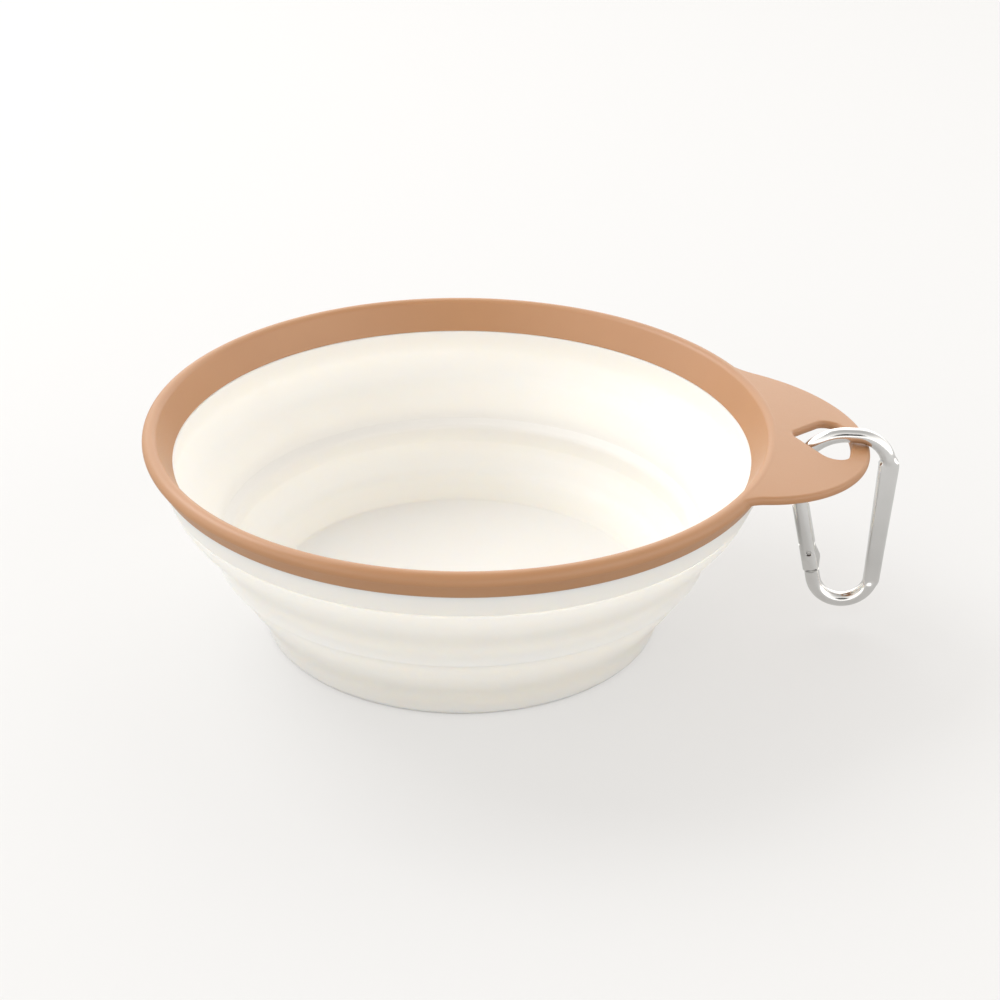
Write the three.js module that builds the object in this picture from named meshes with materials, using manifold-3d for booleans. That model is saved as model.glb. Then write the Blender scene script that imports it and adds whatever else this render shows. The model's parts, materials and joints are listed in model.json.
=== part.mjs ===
// A collapsible travel bowl: a hard rim with a hanging tab, a soft stepped wall that folds
// flat in two stages, and a small sprung carabiner that hangs from the tab.
// Millimetres, +Z up. The origin is the centre of the underside; the tab points along +X.
import * as THREE from 'three';
import { mergeVertices } from 'three/addons/utils/BufferGeometryUtils.js';
import Module from 'manifold-3d';

const wasm = await Module();
wasm.setup();

// Rim
const RIM_RADIUS = 65;
const RIM_HEIGHT = 45.2;
const LIP_ROUND = 1.6;
const LIP_OVERHANG = 0.6;
const MOUTH_INSET = 6;
const MOUTH_DEPTH = 6.7;
const SKIRT_INSET = 2.2;
const SKIRT_DEPTH = 5.6;
const TONGUE_WIDTH = 0.7;
const TONGUE_HEIGHT = 1.7;
const TONGUE_SETBACK = 1.1;

// Hanging tab, drooping outwards from the rim's crest, and its hole
const TAB_REACH = 18;
const TAB_RADIUS = 30;
const TAB_THICKNESS = 1.8;
const TAB_DROP = 0.05;
const TAB_SLOPE = 0.14;
const TAB_EDGE_ROUND = 0.8;
const NECK_RADIUS = 10;
const WEB_WIDTH = 4;
const HOLE_LENGTH = 11.5;
const HOLE_APEX_ROUND = 1.9;
const HOLE_HALF_WIDTH = 8.2;
const HOLE_CORNER_ROUND = 3.1;

// Soft wall, from the rim down to the base
const COLLAR_HEIGHT = 4;
const COLLAR_TAPER = 1.9;
const COLLAR_EDGE_ROUND = 0.7;
const FOLD_WALL = 1.3;
const RING_WALL = 1.5;
const UPPER_INSET = 0.5;
const UPPER_TAPER = 8.9;
const UPPER_RING_HEIGHT = 10.2;
const UPPER_FOOT_BAND = 2.1;
const TOE_REACH = 3.7;
const TOE_HEIGHT = 1.9;
const LOWER_INSET = 1.8;
const LOWER_TAPER = 7.7;
const LOWER_STEP_HEIGHT = 17.4;
const LOWER_RING_HEIGHT = 9.2;
const LOWER_FOOT_BAND = 2;
const BASE_EDGE_ROUND = 0.6;
const FLOOR_THICKNESS = 3.4;
const FLOOR_FILLET = 1;

// Carabiner: a bent bar, flattened along its spine
const BAR_DIAMETER = 3.1;
const SPINE_HEAD_WIDTH = 4;
const SPINE_FOOT_WIDTH = 3.2;
const SPINE_THICKNESS = 2.6;
const SPINE_SQUARENESS = 0.5;
const SPINE_REACH = 7.35;
const SPINE_OVERRUN = 2.6;
const SPINE_BLEND = 2;
const SPINE_LEAN = THREE.MathUtils.degToRad(1.9);
const LOOP_DEPTH = 35.85;
const BOTTOM_BEND = 6.15;
const OUTER_BEND = 7;
const NOSE_BEND = 9.5;
const GATE_LEAN = THREE.MathUtils.degToRad(13.1);

// Gate, sprung shut on a riveted hinge
const GATE_DIAMETER = 3.5;
const RIVET_FROM_BEND = 6.9;
const HINGE_STUB = 2.2;
const NOSE_STUB = 0.65;
const SLOT_WIDTH = 2;
const HINGE_SLOT_ABOVE_RIVET = 2.05;
const LATCH_SLOT_DEPTH = 3.4;
const TANG_THICKNESS = 1.4;
const TANG_ROOT = 0.8;
const TANG_SHOULDER_Z = 1.6;
const LUG_REACH = 0.45;
const LUG_BELOW_RIVET = 1.6;
const HOOK_WIDTH = 2.5;
const RIVET_DIAMETER = 0.9;
const LATCH_PIN_DIAMETER = 1;
const LATCH_PIN_FROM_END = 1.6;
const LATCH_LIP = 0.6;
const BORE_DIAMETER = 2.2;
const BORE_DEPTH = 7.3;
const CAM_RADIUS = 1.3;
const CAM_RISE = 0.6;
const GATE_TRAVEL = THREE.MathUtils.degToRad(30);
const PLUNGER_DIAMETER = 1.7;
const PLUNGER_LENGTH = 3;
const PLUNGER_TIP_RADIUS = 0.4;
const PLUNGER_TIP_LENGTH = 0.5;
const SPRING_DIAMETER = 1.7;
const SPRING_WIRE = 0.3;
const SPRING_TURNS = 4;

// Clearances
const SEAM = 0.15;
const KEY_GAP = 0.3;
const PIVOT_GAP = 0.25;
const RUNNING_GAP = 0.3;
const PIN_GAP = 0.15;
const SHOULDER_GAP = 0.6;

// Steps round the bowl, along a band of wall, round the bar and along it, and of small forms
const BOWL_STEPS = 48;
const BAND_STEPS = 6;
const BAR_SIDES = 16;
const BAR_STEPS = 60;
const SMALL_SIDES = 20;
const ARC_STEPS = 10;
const EDGE_STEPS = 3;
const TURN_STEPS = 10;
const WELD_DISTANCE = 1e-4;

// Heights and places that follow from the sizes
const MOUTH_RADIUS = RIM_RADIUS - MOUTH_INSET;
const MOUTH_Z = RIM_HEIGHT - MOUTH_DEPTH;
const SKIRT_RADIUS = RIM_RADIUS - SKIRT_INSET;
const SKIRT_Z = RIM_HEIGHT - SKIRT_DEPTH;
const LIP_CENTRE = new THREE.Vector2(RIM_RADIUS - LIP_ROUND, RIM_HEIGHT - LIP_ROUND);
const TONGUE_OUT = SKIRT_RADIUS - TONGUE_SETBACK;
const TONGUE_IN = TONGUE_OUT - TONGUE_WIDTH;
const TONGUE_TOP = MOUTH_Z + TONGUE_HEIGHT;
const TAB_TIP = RIM_RADIUS + TAB_REACH;
const TAB_CENTRE = TAB_TIP - TAB_RADIUS;
const HOLE_OUTER = TAB_TIP - WEB_WIDTH;
const PIVOT_X = HOLE_OUTER + TAB_THICKNESS / 2;
const PIVOT_Z = tabMiddle(PIVOT_X);
const COLLAR_FOOT_RADIUS = SKIRT_RADIUS - COLLAR_TAPER;
const COLLAR_FOOT_Z = MOUTH_Z - COLLAR_HEIGHT;
const UPPER_TOP_RADIUS = COLLAR_FOOT_RADIUS - UPPER_INSET;
const UPPER_FOOT_RADIUS = UPPER_TOP_RADIUS - UPPER_TAPER;
const UPPER_RING_TOP_Z = LOWER_STEP_HEIGHT + UPPER_RING_HEIGHT;
const TOE_RADIUS = UPPER_FOOT_RADIUS - TOE_REACH;
const LOWER_TOP_RADIUS = UPPER_FOOT_RADIUS - LOWER_INSET;
const BASE_RADIUS = LOWER_TOP_RADIUS - LOWER_TAPER;
const BAR_RADIUS = BAR_DIAMETER / 2;
const TOP_BAR_Z = TAB_THICKNESS / 2 + PIVOT_GAP + BAR_RADIUS;

// Height of the tab's middle at a distance from the bowl's axis
function tabMiddle(radius) {
  const root = RIM_HEIGHT - TAB_DROP - TAB_THICKNESS / 2;
  return root - TAB_SLOPE * (radius - LIP_CENTRE.x);
}

const material = (colour, roughness, metalness) =>
  new THREE.MeshStandardMaterial({ color: colour, roughness, metalness });
const RIM_PLASTIC = material(0xc79c74, 0.45, 0);
const SOFT_WALL = material(0xf2eee4, 0.6, 0);
const ALUMINIUM = material(0xc9c8c4, 0.32, 1);
const STEEL = material(0x8f8e8a, 0.35, 1);

const part = new THREE.Group();

function addPiece(parent, name, geometry, finish) {
  const mesh = new THREE.Mesh(geometry, finish);
  mesh.name = name;
  parent.add(mesh);
  return mesh;
}

// Keeps only positions and joins the vertices that coincide
function weld(geometry) {
  const plain = geometry.clone();
  plain.deleteAttribute('normal');
  plain.deleteAttribute('uv');
  return mergeVertices(plain, WELD_DISTANCE);
}

function toSolid(geometry) {
  const welded = weld(geometry);
  const mesh = new wasm.Mesh({
    numProp: 3,
    vertProperties: new Float32Array(welded.attributes.position.array),
    triVerts: new Uint32Array(welded.index.array),
  });
  return new wasm.Manifold(mesh);
}

function toGeometry(solid) {
  const mesh = solid.getMesh();
  const geometry = new THREE.BufferGeometry();
  geometry.setAttribute('position', new THREE.BufferAttribute(new Float32Array(mesh.vertProperties), 3));
  geometry.setIndex(new THREE.BufferAttribute(new Uint32Array(mesh.triVerts), 1));
  return geometry;
}

// A ring or disc about Z from a profile of [radius, height] points, listed anticlockwise
function revolve(profile, steps = BOWL_STEPS) {
  const points = profile.map(([r, z]) => new THREE.Vector2(r, z));
  const onAxis = points[0].x === 0 && points[points.length - 1].x === 0;
  if (!onAxis) {
    points.push(points[0].clone());
  }
  const geometry = new THREE.LatheGeometry(points, steps);
  geometry.rotateX(Math.PI / 2);
  return weld(geometry);
}

// A plate cut from an outline in the X-Z plane, centred on Y = 0
function plateXZ(shape, thickness) {
  const geometry = new THREE.ExtrudeGeometry(shape, {
    depth: thickness,
    bevelEnabled: false,
    curveSegments: ARC_STEPS,
  });
  geometry.translate(0, 0, -thickness / 2);
  geometry.rotateX(Math.PI / 2);
  return geometry;
}

// A round bar along Z between two heights
function rod(diameter, low, high, sides = SMALL_SIDES) {
  const geometry = new THREE.CylinderGeometry(diameter / 2, diameter / 2, high - low, sides);
  geometry.rotateX(Math.PI / 2);
  geometry.translate(0, 0, (low + high) / 2);
  return geometry;
}

// A round pin along Y at a height on the Z axis
function crossPin(diameter, length, z) {
  const geometry = new THREE.CylinderGeometry(diameter / 2, diameter / 2, length, SMALL_SIDES);
  geometry.translate(0, 0, z);
  return geometry;
}

// Points of an arc in a profile, both ends included
function arc(centre, radius, from, to, steps) {
  return Array.from({ length: steps + 1 }, (_, i) => {
    const angle = THREE.MathUtils.lerp(from, to, i / steps);
    return [centre.x + radius * Math.cos(angle), centre.y + radius * Math.sin(angle)];
  });
}

// Rim: a cone-mouthed ring with a rounded lip, an inset skirt and a groove that keys the wall
function rimRing() {
  const mouth = new THREE.Vector2(MOUTH_RADIUS, MOUTH_Z);
  const toLip = LIP_CENTRE.clone().sub(mouth);
  const lipEnd = toLip.angle() + Math.asin(LIP_ROUND / toLip.length()) + Math.PI / 2;
  const grooveIn = TONGUE_IN - KEY_GAP;
  const grooveOut = TONGUE_OUT + KEY_GAP;
  const grooveTop = TONGUE_TOP + KEY_GAP;
  return revolve([
    [MOUTH_RADIUS, MOUTH_Z],
    [grooveIn, MOUTH_Z],
    [grooveIn, grooveTop],
    [grooveOut, grooveTop],
    [grooveOut, SKIRT_Z],
    [SKIRT_RADIUS, SKIRT_Z],
    [RIM_RADIUS - LIP_OVERHANG, LIP_CENTRE.y - LIP_OVERHANG],
    ...arc(LIP_CENTRE, LIP_ROUND, 0, lipEnd, ARC_STEPS),
  ]);
}

// Hole of the tab: three rounded corners, the outer side following the tab's edge
function holePath() {
  const outerRadius = TAB_RADIUS - WEB_WIDTH;
  const cornerY = HOLE_HALF_WIDTH - HOLE_CORNER_ROUND;
  const cornerAngle = Math.asin(cornerY / (outerRadius - HOLE_CORNER_ROUND));
  const cornerX = TAB_CENTRE + (outerRadius - HOLE_CORNER_ROUND) * Math.cos(cornerAngle);
  const apexX = HOLE_OUTER - HOLE_LENGTH + HOLE_APEX_ROUND;
  const side = new THREE.Vector2(cornerX - apexX, cornerY);
  const sideTurn = Math.acos((HOLE_APEX_ROUND - HOLE_CORNER_ROUND) / side.length());
  const sideNormal = side.angle() + sideTurn;
  const farNormal = 2 * Math.PI - sideNormal;
  const path = new THREE.Path();
  path.absarc(TAB_CENTRE, 0, outerRadius, -cornerAngle, cornerAngle, false);
  path.absarc(cornerX, cornerY, HOLE_CORNER_ROUND, cornerAngle, sideNormal, false);
  path.absarc(apexX, 0, HOLE_APEX_ROUND, sideNormal, farNormal, false);
  path.absarc(cornerX, -cornerY, HOLE_CORNER_ROUND, farNormal, 2 * Math.PI - cornerAngle, false);
  return path;
}

// Tab: a round plate that flows into the rim through two concave necks
function tabPlate() {
  const neckReach = RIM_RADIUS + NECK_RADIUS;
  const tabReach = TAB_RADIUS + NECK_RADIUS;
  const neckX = (neckReach ** 2 - tabReach ** 2 + TAB_CENTRE ** 2) / (2 * TAB_CENTRE);
  const neckY = Math.sqrt(neckReach ** 2 - neckX ** 2);
  const rimAngle = Math.atan2(neckY, neckX);
  const tabAngle = Math.atan2(neckY, neckX - TAB_CENTRE);
  const shape = new THREE.Shape();
  shape.absarc(TAB_CENTRE, 0, TAB_RADIUS, -tabAngle, tabAngle, false);
  shape.absarc(neckX, neckY, NECK_RADIUS, tabAngle + Math.PI, rimAngle + Math.PI, true);
  shape.absarc(0, 0, LIP_CENTRE.x - TAB_EDGE_ROUND, rimAngle, -rimAngle, true);
  shape.absarc(neckX, -neckY, NECK_RADIUS, Math.PI - rimAngle, Math.PI - tabAngle, true);
  shape.holes.push(holePath());
  const geometry = new THREE.ExtrudeGeometry(shape, {
    depth: TAB_THICKNESS - 2 * TAB_EDGE_ROUND,
    bevelThickness: TAB_EDGE_ROUND,
    bevelSize: TAB_EDGE_ROUND,
    bevelOffset: -TAB_EDGE_ROUND,
    bevelSegments: EDGE_STEPS,
    curveSegments: ARC_STEPS,
  });
  geometry.translate(0, 0, TAB_EDGE_ROUND - TAB_THICKNESS / 2);
  const points = geometry.attributes.position;
  for (let i = 0; i < points.count; i += 1) {
    const radius = Math.hypot(points.getX(i), points.getY(i));
    points.setZ(i, points.getZ(i) + tabMiddle(radius));
  }
  return geometry;
}

// Outer radius of the upper and lower steps: an upright band at the foot, then a flare like an S
function upperRadius(z) {
  const flare = THREE.MathUtils.smoothstep(z, LOWER_STEP_HEIGHT + UPPER_FOOT_BAND, COLLAR_FOOT_Z);
  return UPPER_FOOT_RADIUS + UPPER_TAPER * flare;
}

function lowerRadius(z) {
  return BASE_RADIUS + LOWER_TAPER * THREE.MathUtils.smoothstep(z, LOWER_FOOT_BAND, LOWER_STEP_HEIGHT);
}

// Points up one face of a band, or down it when the heights are given the other way round
function face(radiusAt, from, to, inset) {
  return Array.from({ length: BAND_STEPS + 1 }, (_, i) => {
    const z = THREE.MathUtils.lerp(from, to, i / BAND_STEPS);
    return [radiusAt(z) - inset, z];
  });
}

// Collar of the wall, keyed into the rim's groove, with a rounded lower edge
function collarRing() {
  const top = MOUTH_Z - SEAM;
  const outerTop = SKIRT_Z - SEAM;
  const edgeRadius = COLLAR_FOOT_RADIUS - COLLAR_EDGE_ROUND;
  const edge = new THREE.Vector2(edgeRadius, COLLAR_FOOT_Z + COLLAR_EDGE_ROUND);
  return revolve([
    [MOUTH_RADIUS, COLLAR_FOOT_Z],
    ...arc(edge, COLLAR_EDGE_ROUND, -Math.PI / 2, 0, EDGE_STEPS),
    [SKIRT_RADIUS, outerTop],
    [TONGUE_OUT, outerTop],
    [TONGUE_OUT, TONGUE_TOP],
    [TONGUE_IN, TONGUE_TOP],
    [TONGUE_IN, top],
    [MOUTH_RADIUS, top],
  ]);
}

// Thin band of wall that turns inside out when the bowl folds
function foldBand(radiusAt, low, high) {
  return revolve([...face(radiusAt, low, high, 0), ...face(radiusAt, high, low, FOLD_WALL)]);
}

// Thick upper step, with a toe at its foot that carries the lower fold
function upperRing() {
  const toeTop = LOWER_STEP_HEIGHT + TOE_HEIGHT;
  return revolve([
    [TOE_RADIUS, LOWER_STEP_HEIGHT],
    ...face(upperRadius, LOWER_STEP_HEIGHT, UPPER_RING_TOP_Z, 0),
    ...face(upperRadius, UPPER_RING_TOP_Z, toeTop, RING_WALL),
    [TOE_RADIUS, toeTop],
  ]);
}

// Thick lower step, whose foot the bowl stands on
function lowerRing() {
  const filletTop = FLOOR_THICKNESS + FLOOR_FILLET;
  const floorEdge = lowerRadius(filletTop) - RING_WALL - FLOOR_FILLET;
  const fillet = new THREE.Vector2(floorEdge, filletTop);
  return revolve([
    [floorEdge, 0],
    [BASE_RADIUS - BASE_EDGE_ROUND, 0],
    ...face(lowerRadius, BASE_EDGE_ROUND, LOWER_RING_HEIGHT, 0),
    ...face(lowerRadius, LOWER_RING_HEIGHT, filletTop, RING_WALL),
    ...arc(fillet, FLOOR_FILLET, 0, -Math.PI / 2, EDGE_STEPS).slice(1),
  ]);
}

function floorDisc() {
  const edge = lowerRadius(FLOOR_THICKNESS + FLOOR_FILLET) - RING_WALL - FLOOR_FILLET - SEAM;
  return revolve([[0, 0], [edge, 0], [edge, FLOOR_THICKNESS], [0, FLOOR_THICKNESS]]);
}

// Places of the carabiner about its pivot on the tab's web, in the X-Z plane
const OUTER_CENTRE = new THREE.Vector2(SPINE_REACH - OUTER_BEND, TOP_BAR_Z - OUTER_BEND);
const SPINE_NORMAL = new THREE.Vector2(Math.cos(SPINE_LEAN), -Math.sin(SPINE_LEAN));
const BOTTOM_CENTRE_Z = BOTTOM_BEND - LOOP_DEPTH;
const BOTTOM_OFFSET = SPINE_NORMAL.dot(OUTER_CENTRE) + OUTER_BEND - BOTTOM_BEND;
const BOTTOM_CENTRE_X = (BOTTOM_OFFSET - SPINE_NORMAL.y * BOTTOM_CENTRE_Z) / SPINE_NORMAL.x;
const BOTTOM_CENTRE = new THREE.Vector2(BOTTOM_CENTRE_X, BOTTOM_CENTRE_Z);
const GATE_DIRECTION = new THREE.Vector2(-Math.sin(GATE_LEAN), Math.cos(GATE_LEAN));
const GATE_NORMAL = new THREE.Vector2(-Math.cos(GATE_LEAN), -Math.sin(GATE_LEAN));
const BOTTOM_TANGENT = BOTTOM_CENTRE.clone().addScaledVector(GATE_NORMAL, BOTTOM_BEND);
const RIVET = BOTTOM_TANGENT.clone().addScaledVector(GATE_DIRECTION, RIVET_FROM_BEND);
const NOSE_CENTRE_Z = TOP_BAR_Z - NOSE_BEND;
const NOSE_OFFSET = (NOSE_BEND + GATE_NORMAL.y * (NOSE_CENTRE_Z - RIVET.y)) / -GATE_NORMAL.x;
const NOSE_CENTRE = new THREE.Vector2(RIVET.x + NOSE_OFFSET, NOSE_CENTRE_Z);
const NOSE_TANGENT = NOSE_CENTRE.clone().addScaledVector(GATE_NORMAL, NOSE_BEND);
const HINGE_SHOULDER = HINGE_STUB - RIVET_FROM_BEND;
const NOSE_SHOULDER = RIVET.distanceTo(NOSE_TANGENT) - NOSE_STUB;
const GATE_LOW = HINGE_SHOULDER + SHOULDER_GAP;
const GATE_HIGH = NOSE_SHOULDER - SHOULDER_GAP;
const LATCH_PIN_Z = GATE_HIGH - LATCH_PIN_FROM_END;

// Centre line of the bar, from the hinge shoulder round the loop to the nose shoulder
function barPath() {
  const start = RIVET.clone().addScaledVector(GATE_DIRECTION, HINGE_SHOULDER);
  const end = RIVET.clone().addScaledVector(GATE_DIRECTION, NOSE_SHOULDER);
  const leftwards = Math.PI + GATE_LEAN;
  const path = new THREE.Path();
  path.moveTo(start.x, start.y);
  path.lineTo(BOTTOM_TANGENT.x, BOTTOM_TANGENT.y);
  path.absarc(BOTTOM_CENTRE.x, BOTTOM_CENTRE.y, BOTTOM_BEND, leftwards, 2 * Math.PI - SPINE_LEAN, false);
  path.absarc(OUTER_CENTRE.x, OUTER_CENTRE.y, OUTER_BEND, -SPINE_LEAN, Math.PI / 2, false);
  path.absarc(NOSE_CENTRE.x, NOSE_CENTRE.y, NOSE_BEND, Math.PI / 2, leftwards, false);
  path.lineTo(end.x, end.y);
  return path;
}

// The bent bar, lofted through rings that change from round to flat-sided along the spine
function barLoft() {
  const path = barPath();
  const positions = [];
  for (let i = 0; i <= BAR_STEPS; i += 1) {
    const centre = path.getPointAt(i / BAR_STEPS);
    const along = path.getTangentAt(i / BAR_STEPS);
    const aboveFoot = (centre.y - BOTTOM_CENTRE.y + SPINE_OVERRUN) / SPINE_BLEND;
    const belowHead = (OUTER_CENTRE.y - centre.y + SPINE_OVERRUN) / SPINE_BLEND;
    const inSpine = THREE.MathUtils.smoothstep(Math.min(aboveFoot, belowHead), 0, 1);
    const onSpine = centre.x > BOTTOM_CENTRE.x ? inSpine : 0;
    const upSpine = (centre.y - BOTTOM_CENTRE.y) / (OUTER_CENTRE.y - BOTTOM_CENTRE.y);
    const width = THREE.MathUtils.lerp(SPINE_FOOT_WIDTH, SPINE_HEAD_WIDTH, upSpine);
    const halfWidth = THREE.MathUtils.lerp(BAR_RADIUS, width / 2, onSpine);
    const halfThickness = THREE.MathUtils.lerp(BAR_RADIUS, SPINE_THICKNESS / 2, onSpine);
    const squareness = THREE.MathUtils.lerp(1, SPINE_SQUARENESS, onSpine);
    for (let k = 0; k < BAR_SIDES; k += 1) {
      const angle = (2 * Math.PI * k) / BAR_SIDES;
      const across = halfWidth * Math.sign(Math.cos(angle)) * Math.abs(Math.cos(angle)) ** squareness;
      const y = halfThickness * Math.sign(Math.sin(angle)) * Math.abs(Math.sin(angle)) ** squareness;
      positions.push(centre.x + across * along.y, y, centre.y - across * along.x);
    }
  }
  const ring = (i, k) => i * BAR_SIDES + (k % BAR_SIDES);
  const index = [];
  for (let i = 0; i < BAR_STEPS; i += 1) {
    for (let k = 0; k < BAR_SIDES; k += 1) {
      index.push(ring(i, k), ring(i, k + 1), ring(i + 1, k + 1));
      index.push(ring(i, k), ring(i + 1, k + 1), ring(i + 1, k));
    }
  }
  for (let k = 1; k < BAR_SIDES - 1; k += 1) {
    index.push(ring(0, 0), ring(0, k + 1), ring(0, k));
    index.push(ring(BAR_STEPS, 0), ring(BAR_STEPS, k), ring(BAR_STEPS, k + 1));
  }
  const geometry = new THREE.BufferGeometry();
  geometry.setAttribute('position', new THREE.Float32BufferAttribute(positions, 3));
  geometry.setIndex(index);
  return geometry;
}

// Hinge tang that fills the gate's fork, with a lug on the inside; its cam end pushes the plunger
function hingeTang() {
  const side = GATE_DIAMETER / 2;
  const foot = HINGE_SHOULDER - TANG_ROOT;
  const shape = new THREE.Shape();
  shape.moveTo(-BAR_RADIUS / 2, foot);
  shape.lineTo(BAR_RADIUS / 2, foot);
  shape.lineTo(BAR_RADIUS, GATE_LOW);
  shape.lineTo(side + LUG_REACH, -LUG_BELOW_RIVET);
  for (let i = 0; i <= ARC_STEPS; i += 1) {
    const turn = THREE.MathUtils.lerp(2 * GATE_TRAVEL, -GATE_TRAVEL, i / ARC_STEPS);
    const rise = CAM_RISE * THREE.MathUtils.clamp(turn / GATE_TRAVEL, 0, 1);
    shape.lineTo((CAM_RADIUS + rise) * Math.sin(turn), (CAM_RADIUS + rise) * Math.cos(turn));
  }
  shape.lineTo(-BORE_DIAMETER / 2, TANG_SHOULDER_Z);
  shape.lineTo(-side, TANG_SHOULDER_Z);
  shape.lineTo(-side, GATE_LOW);
  return plateXZ(shape, TANG_THICKNESS);
}

// Latch tongue of the nose: a hook, open to the inside, round the gate's latch pin
function latchTongue() {
  const half = HOOK_WIDTH / 2;
  const notch = LATCH_PIN_DIAMETER / 2 + RUNNING_GAP;
  const lipZ = LATCH_PIN_Z - notch;
  const shape = new THREE.Shape();
  shape.moveTo(-half, NOSE_SHOULDER + TANG_ROOT);
  shape.lineTo(-half, lipZ - LATCH_LIP);
  shape.lineTo(LATCH_PIN_DIAMETER / 2, lipZ - LATCH_LIP);
  shape.lineTo(LATCH_PIN_DIAMETER / 2, lipZ);
  shape.absarc(0, LATCH_PIN_Z, notch, -Math.PI / 2, Math.PI / 2, true);
  shape.lineTo(half, LATCH_PIN_Z + notch);
  shape.lineTo(half, NOSE_SHOULDER + TANG_ROOT);
  return plateXZ(shape, TANG_THICKNESS);
}

// Gate tube with a fork at each end and a blind bore for the spring
function gateTube() {
  const slot = (low, high) => {
    const box = new THREE.BoxGeometry(2 * GATE_DIAMETER, SLOT_WIDTH, high - low);
    box.translate(0, 0, (low + high) / 2);
    return toSolid(box);
  };
  const through = 2 * GATE_DIAMETER;
  const pinHole = (diameter, z) => toSolid(crossPin(diameter + 2 * PIN_GAP, through, z));
  const boreTop = HINGE_SLOT_ABOVE_RIVET + BORE_DEPTH;
  let solid = toSolid(rod(GATE_DIAMETER, GATE_LOW, GATE_HIGH));
  solid = solid.subtract(slot(2 * GATE_LOW, HINGE_SLOT_ABOVE_RIVET));
  solid = solid.subtract(slot(GATE_HIGH - LATCH_SLOT_DEPTH, 2 * GATE_HIGH));
  solid = solid.subtract(toSolid(rod(BORE_DIAMETER, 0, boreTop)));
  solid = solid.subtract(pinHole(RIVET_DIAMETER, 0));
  solid = solid.subtract(pinHole(LATCH_PIN_DIAMETER, LATCH_PIN_Z));
  return toGeometry(solid);
}

const PLUNGER_LOW = CAM_RADIUS + RUNNING_GAP;
const PLUNGER_HIGH = PLUNGER_LOW + PLUNGER_LENGTH;

function plunger() {
  const body = PLUNGER_DIAMETER / 2;
  return revolve([
    [0, PLUNGER_LOW],
    [PLUNGER_TIP_RADIUS, PLUNGER_LOW],
    [body, PLUNGER_LOW + PLUNGER_TIP_LENGTH],
    [body, PLUNGER_HIGH],
    [0, PLUNGER_HIGH],
  ], SMALL_SIDES);
}

// Compression spring between the plunger and the end of the bore, as one unbroken helix
function springCoil() {
  const radius = (SPRING_DIAMETER - SPRING_WIRE) / 2;
  const low = PLUNGER_HIGH + RUNNING_GAP + SPRING_WIRE / 2;
  const high = HINGE_SLOT_ABOVE_RIVET + BORE_DEPTH - RUNNING_GAP - SPRING_WIRE / 2;
  const steps = SPRING_TURNS * TURN_STEPS;
  const points = Array.from({ length: steps + 1 }, (_, i) => {
    const turn = (2 * Math.PI * i) / TURN_STEPS;
    const z = THREE.MathUtils.lerp(low, high, i / steps);
    return new THREE.Vector3(radius * Math.cos(turn), radius * Math.sin(turn), z);
  });
  const leastGap = (high - low) / SPRING_TURNS - SPRING_WIRE;
  console.log('spring: least gap between turns', leastGap.toFixed(2), 'mm');
  const wire = new THREE.Shape().absarc(0, 0, SPRING_WIRE / 2, 0, 2 * Math.PI, false);
  const geometry = new THREE.ExtrudeGeometry(wire, {
    steps,
    bevelEnabled: false,
    curveSegments: EDGE_STEPS,
    extrudePath: new THREE.CatmullRomCurve3(points),
  });
  return weld(geometry);
}

// Bowl
const rimAndTab = toSolid(rimRing()).add(toSolid(tabPlate()));
const upperFold = foldBand(upperRadius, UPPER_RING_TOP_Z + SEAM, COLLAR_FOOT_Z - SEAM);
const lowerFold = foldBand(lowerRadius, LOWER_RING_HEIGHT + SEAM, LOWER_STEP_HEIGHT - SEAM);
addPiece(part, 'rim_frame', toGeometry(rimAndTab), RIM_PLASTIC);
addPiece(part, 'wall_collar', collarRing(), SOFT_WALL);
addPiece(part, 'upper_fold', upperFold, SOFT_WALL);
addPiece(part, 'upper_ring', upperRing(), SOFT_WALL);
addPiece(part, 'lower_fold', lowerFold, SOFT_WALL);
addPiece(part, 'lower_ring', lowerRing(), SOFT_WALL);
addPiece(part, 'base_floor', floorDisc(), SOFT_WALL);

// Carabiner, hanging on the web of the tab
const carabiner = new THREE.Group();
carabiner.position.set(PIVOT_X, 0, PIVOT_Z);
part.add(carabiner);
const gate = new THREE.Group();
gate.position.set(RIVET.x, 0, RIVET.y);
gate.rotation.y = -GATE_LEAN;
carabiner.add(gate);
gate.updateMatrix();
const pinLength = GATE_DIAMETER - 2 * PIN_GAP;
const rivetHole = crossPin(RIVET_DIAMETER + 2 * PIN_GAP, 2 * GATE_DIAMETER, 0);
const carabinerBody = toSolid(barLoft())
  .add(toSolid(hingeTang().applyMatrix4(gate.matrix)))
  .add(toSolid(latchTongue().applyMatrix4(gate.matrix)))
  .subtract(toSolid(rivetHole.applyMatrix4(gate.matrix)));
addPiece(carabiner, 'carabiner_body', toGeometry(carabinerBody), ALUMINIUM);
addPiece(gate, 'carabiner_gate', gateTube(), ALUMINIUM);
addPiece(gate, 'gate_rivet', crossPin(RIVET_DIAMETER, pinLength, 0), STEEL);
addPiece(gate, 'gate_latch_pin', crossPin(LATCH_PIN_DIAMETER, pinLength, LATCH_PIN_Z), STEEL);
addPiece(gate, 'gate_plunger', plunger(), STEEL);
addPiece(gate, 'gate_spring', springCoil(), STEEL);

export default part;
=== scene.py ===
"""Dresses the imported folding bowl: its rim, soft wall, carabiner and a plain pale studio."""

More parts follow.
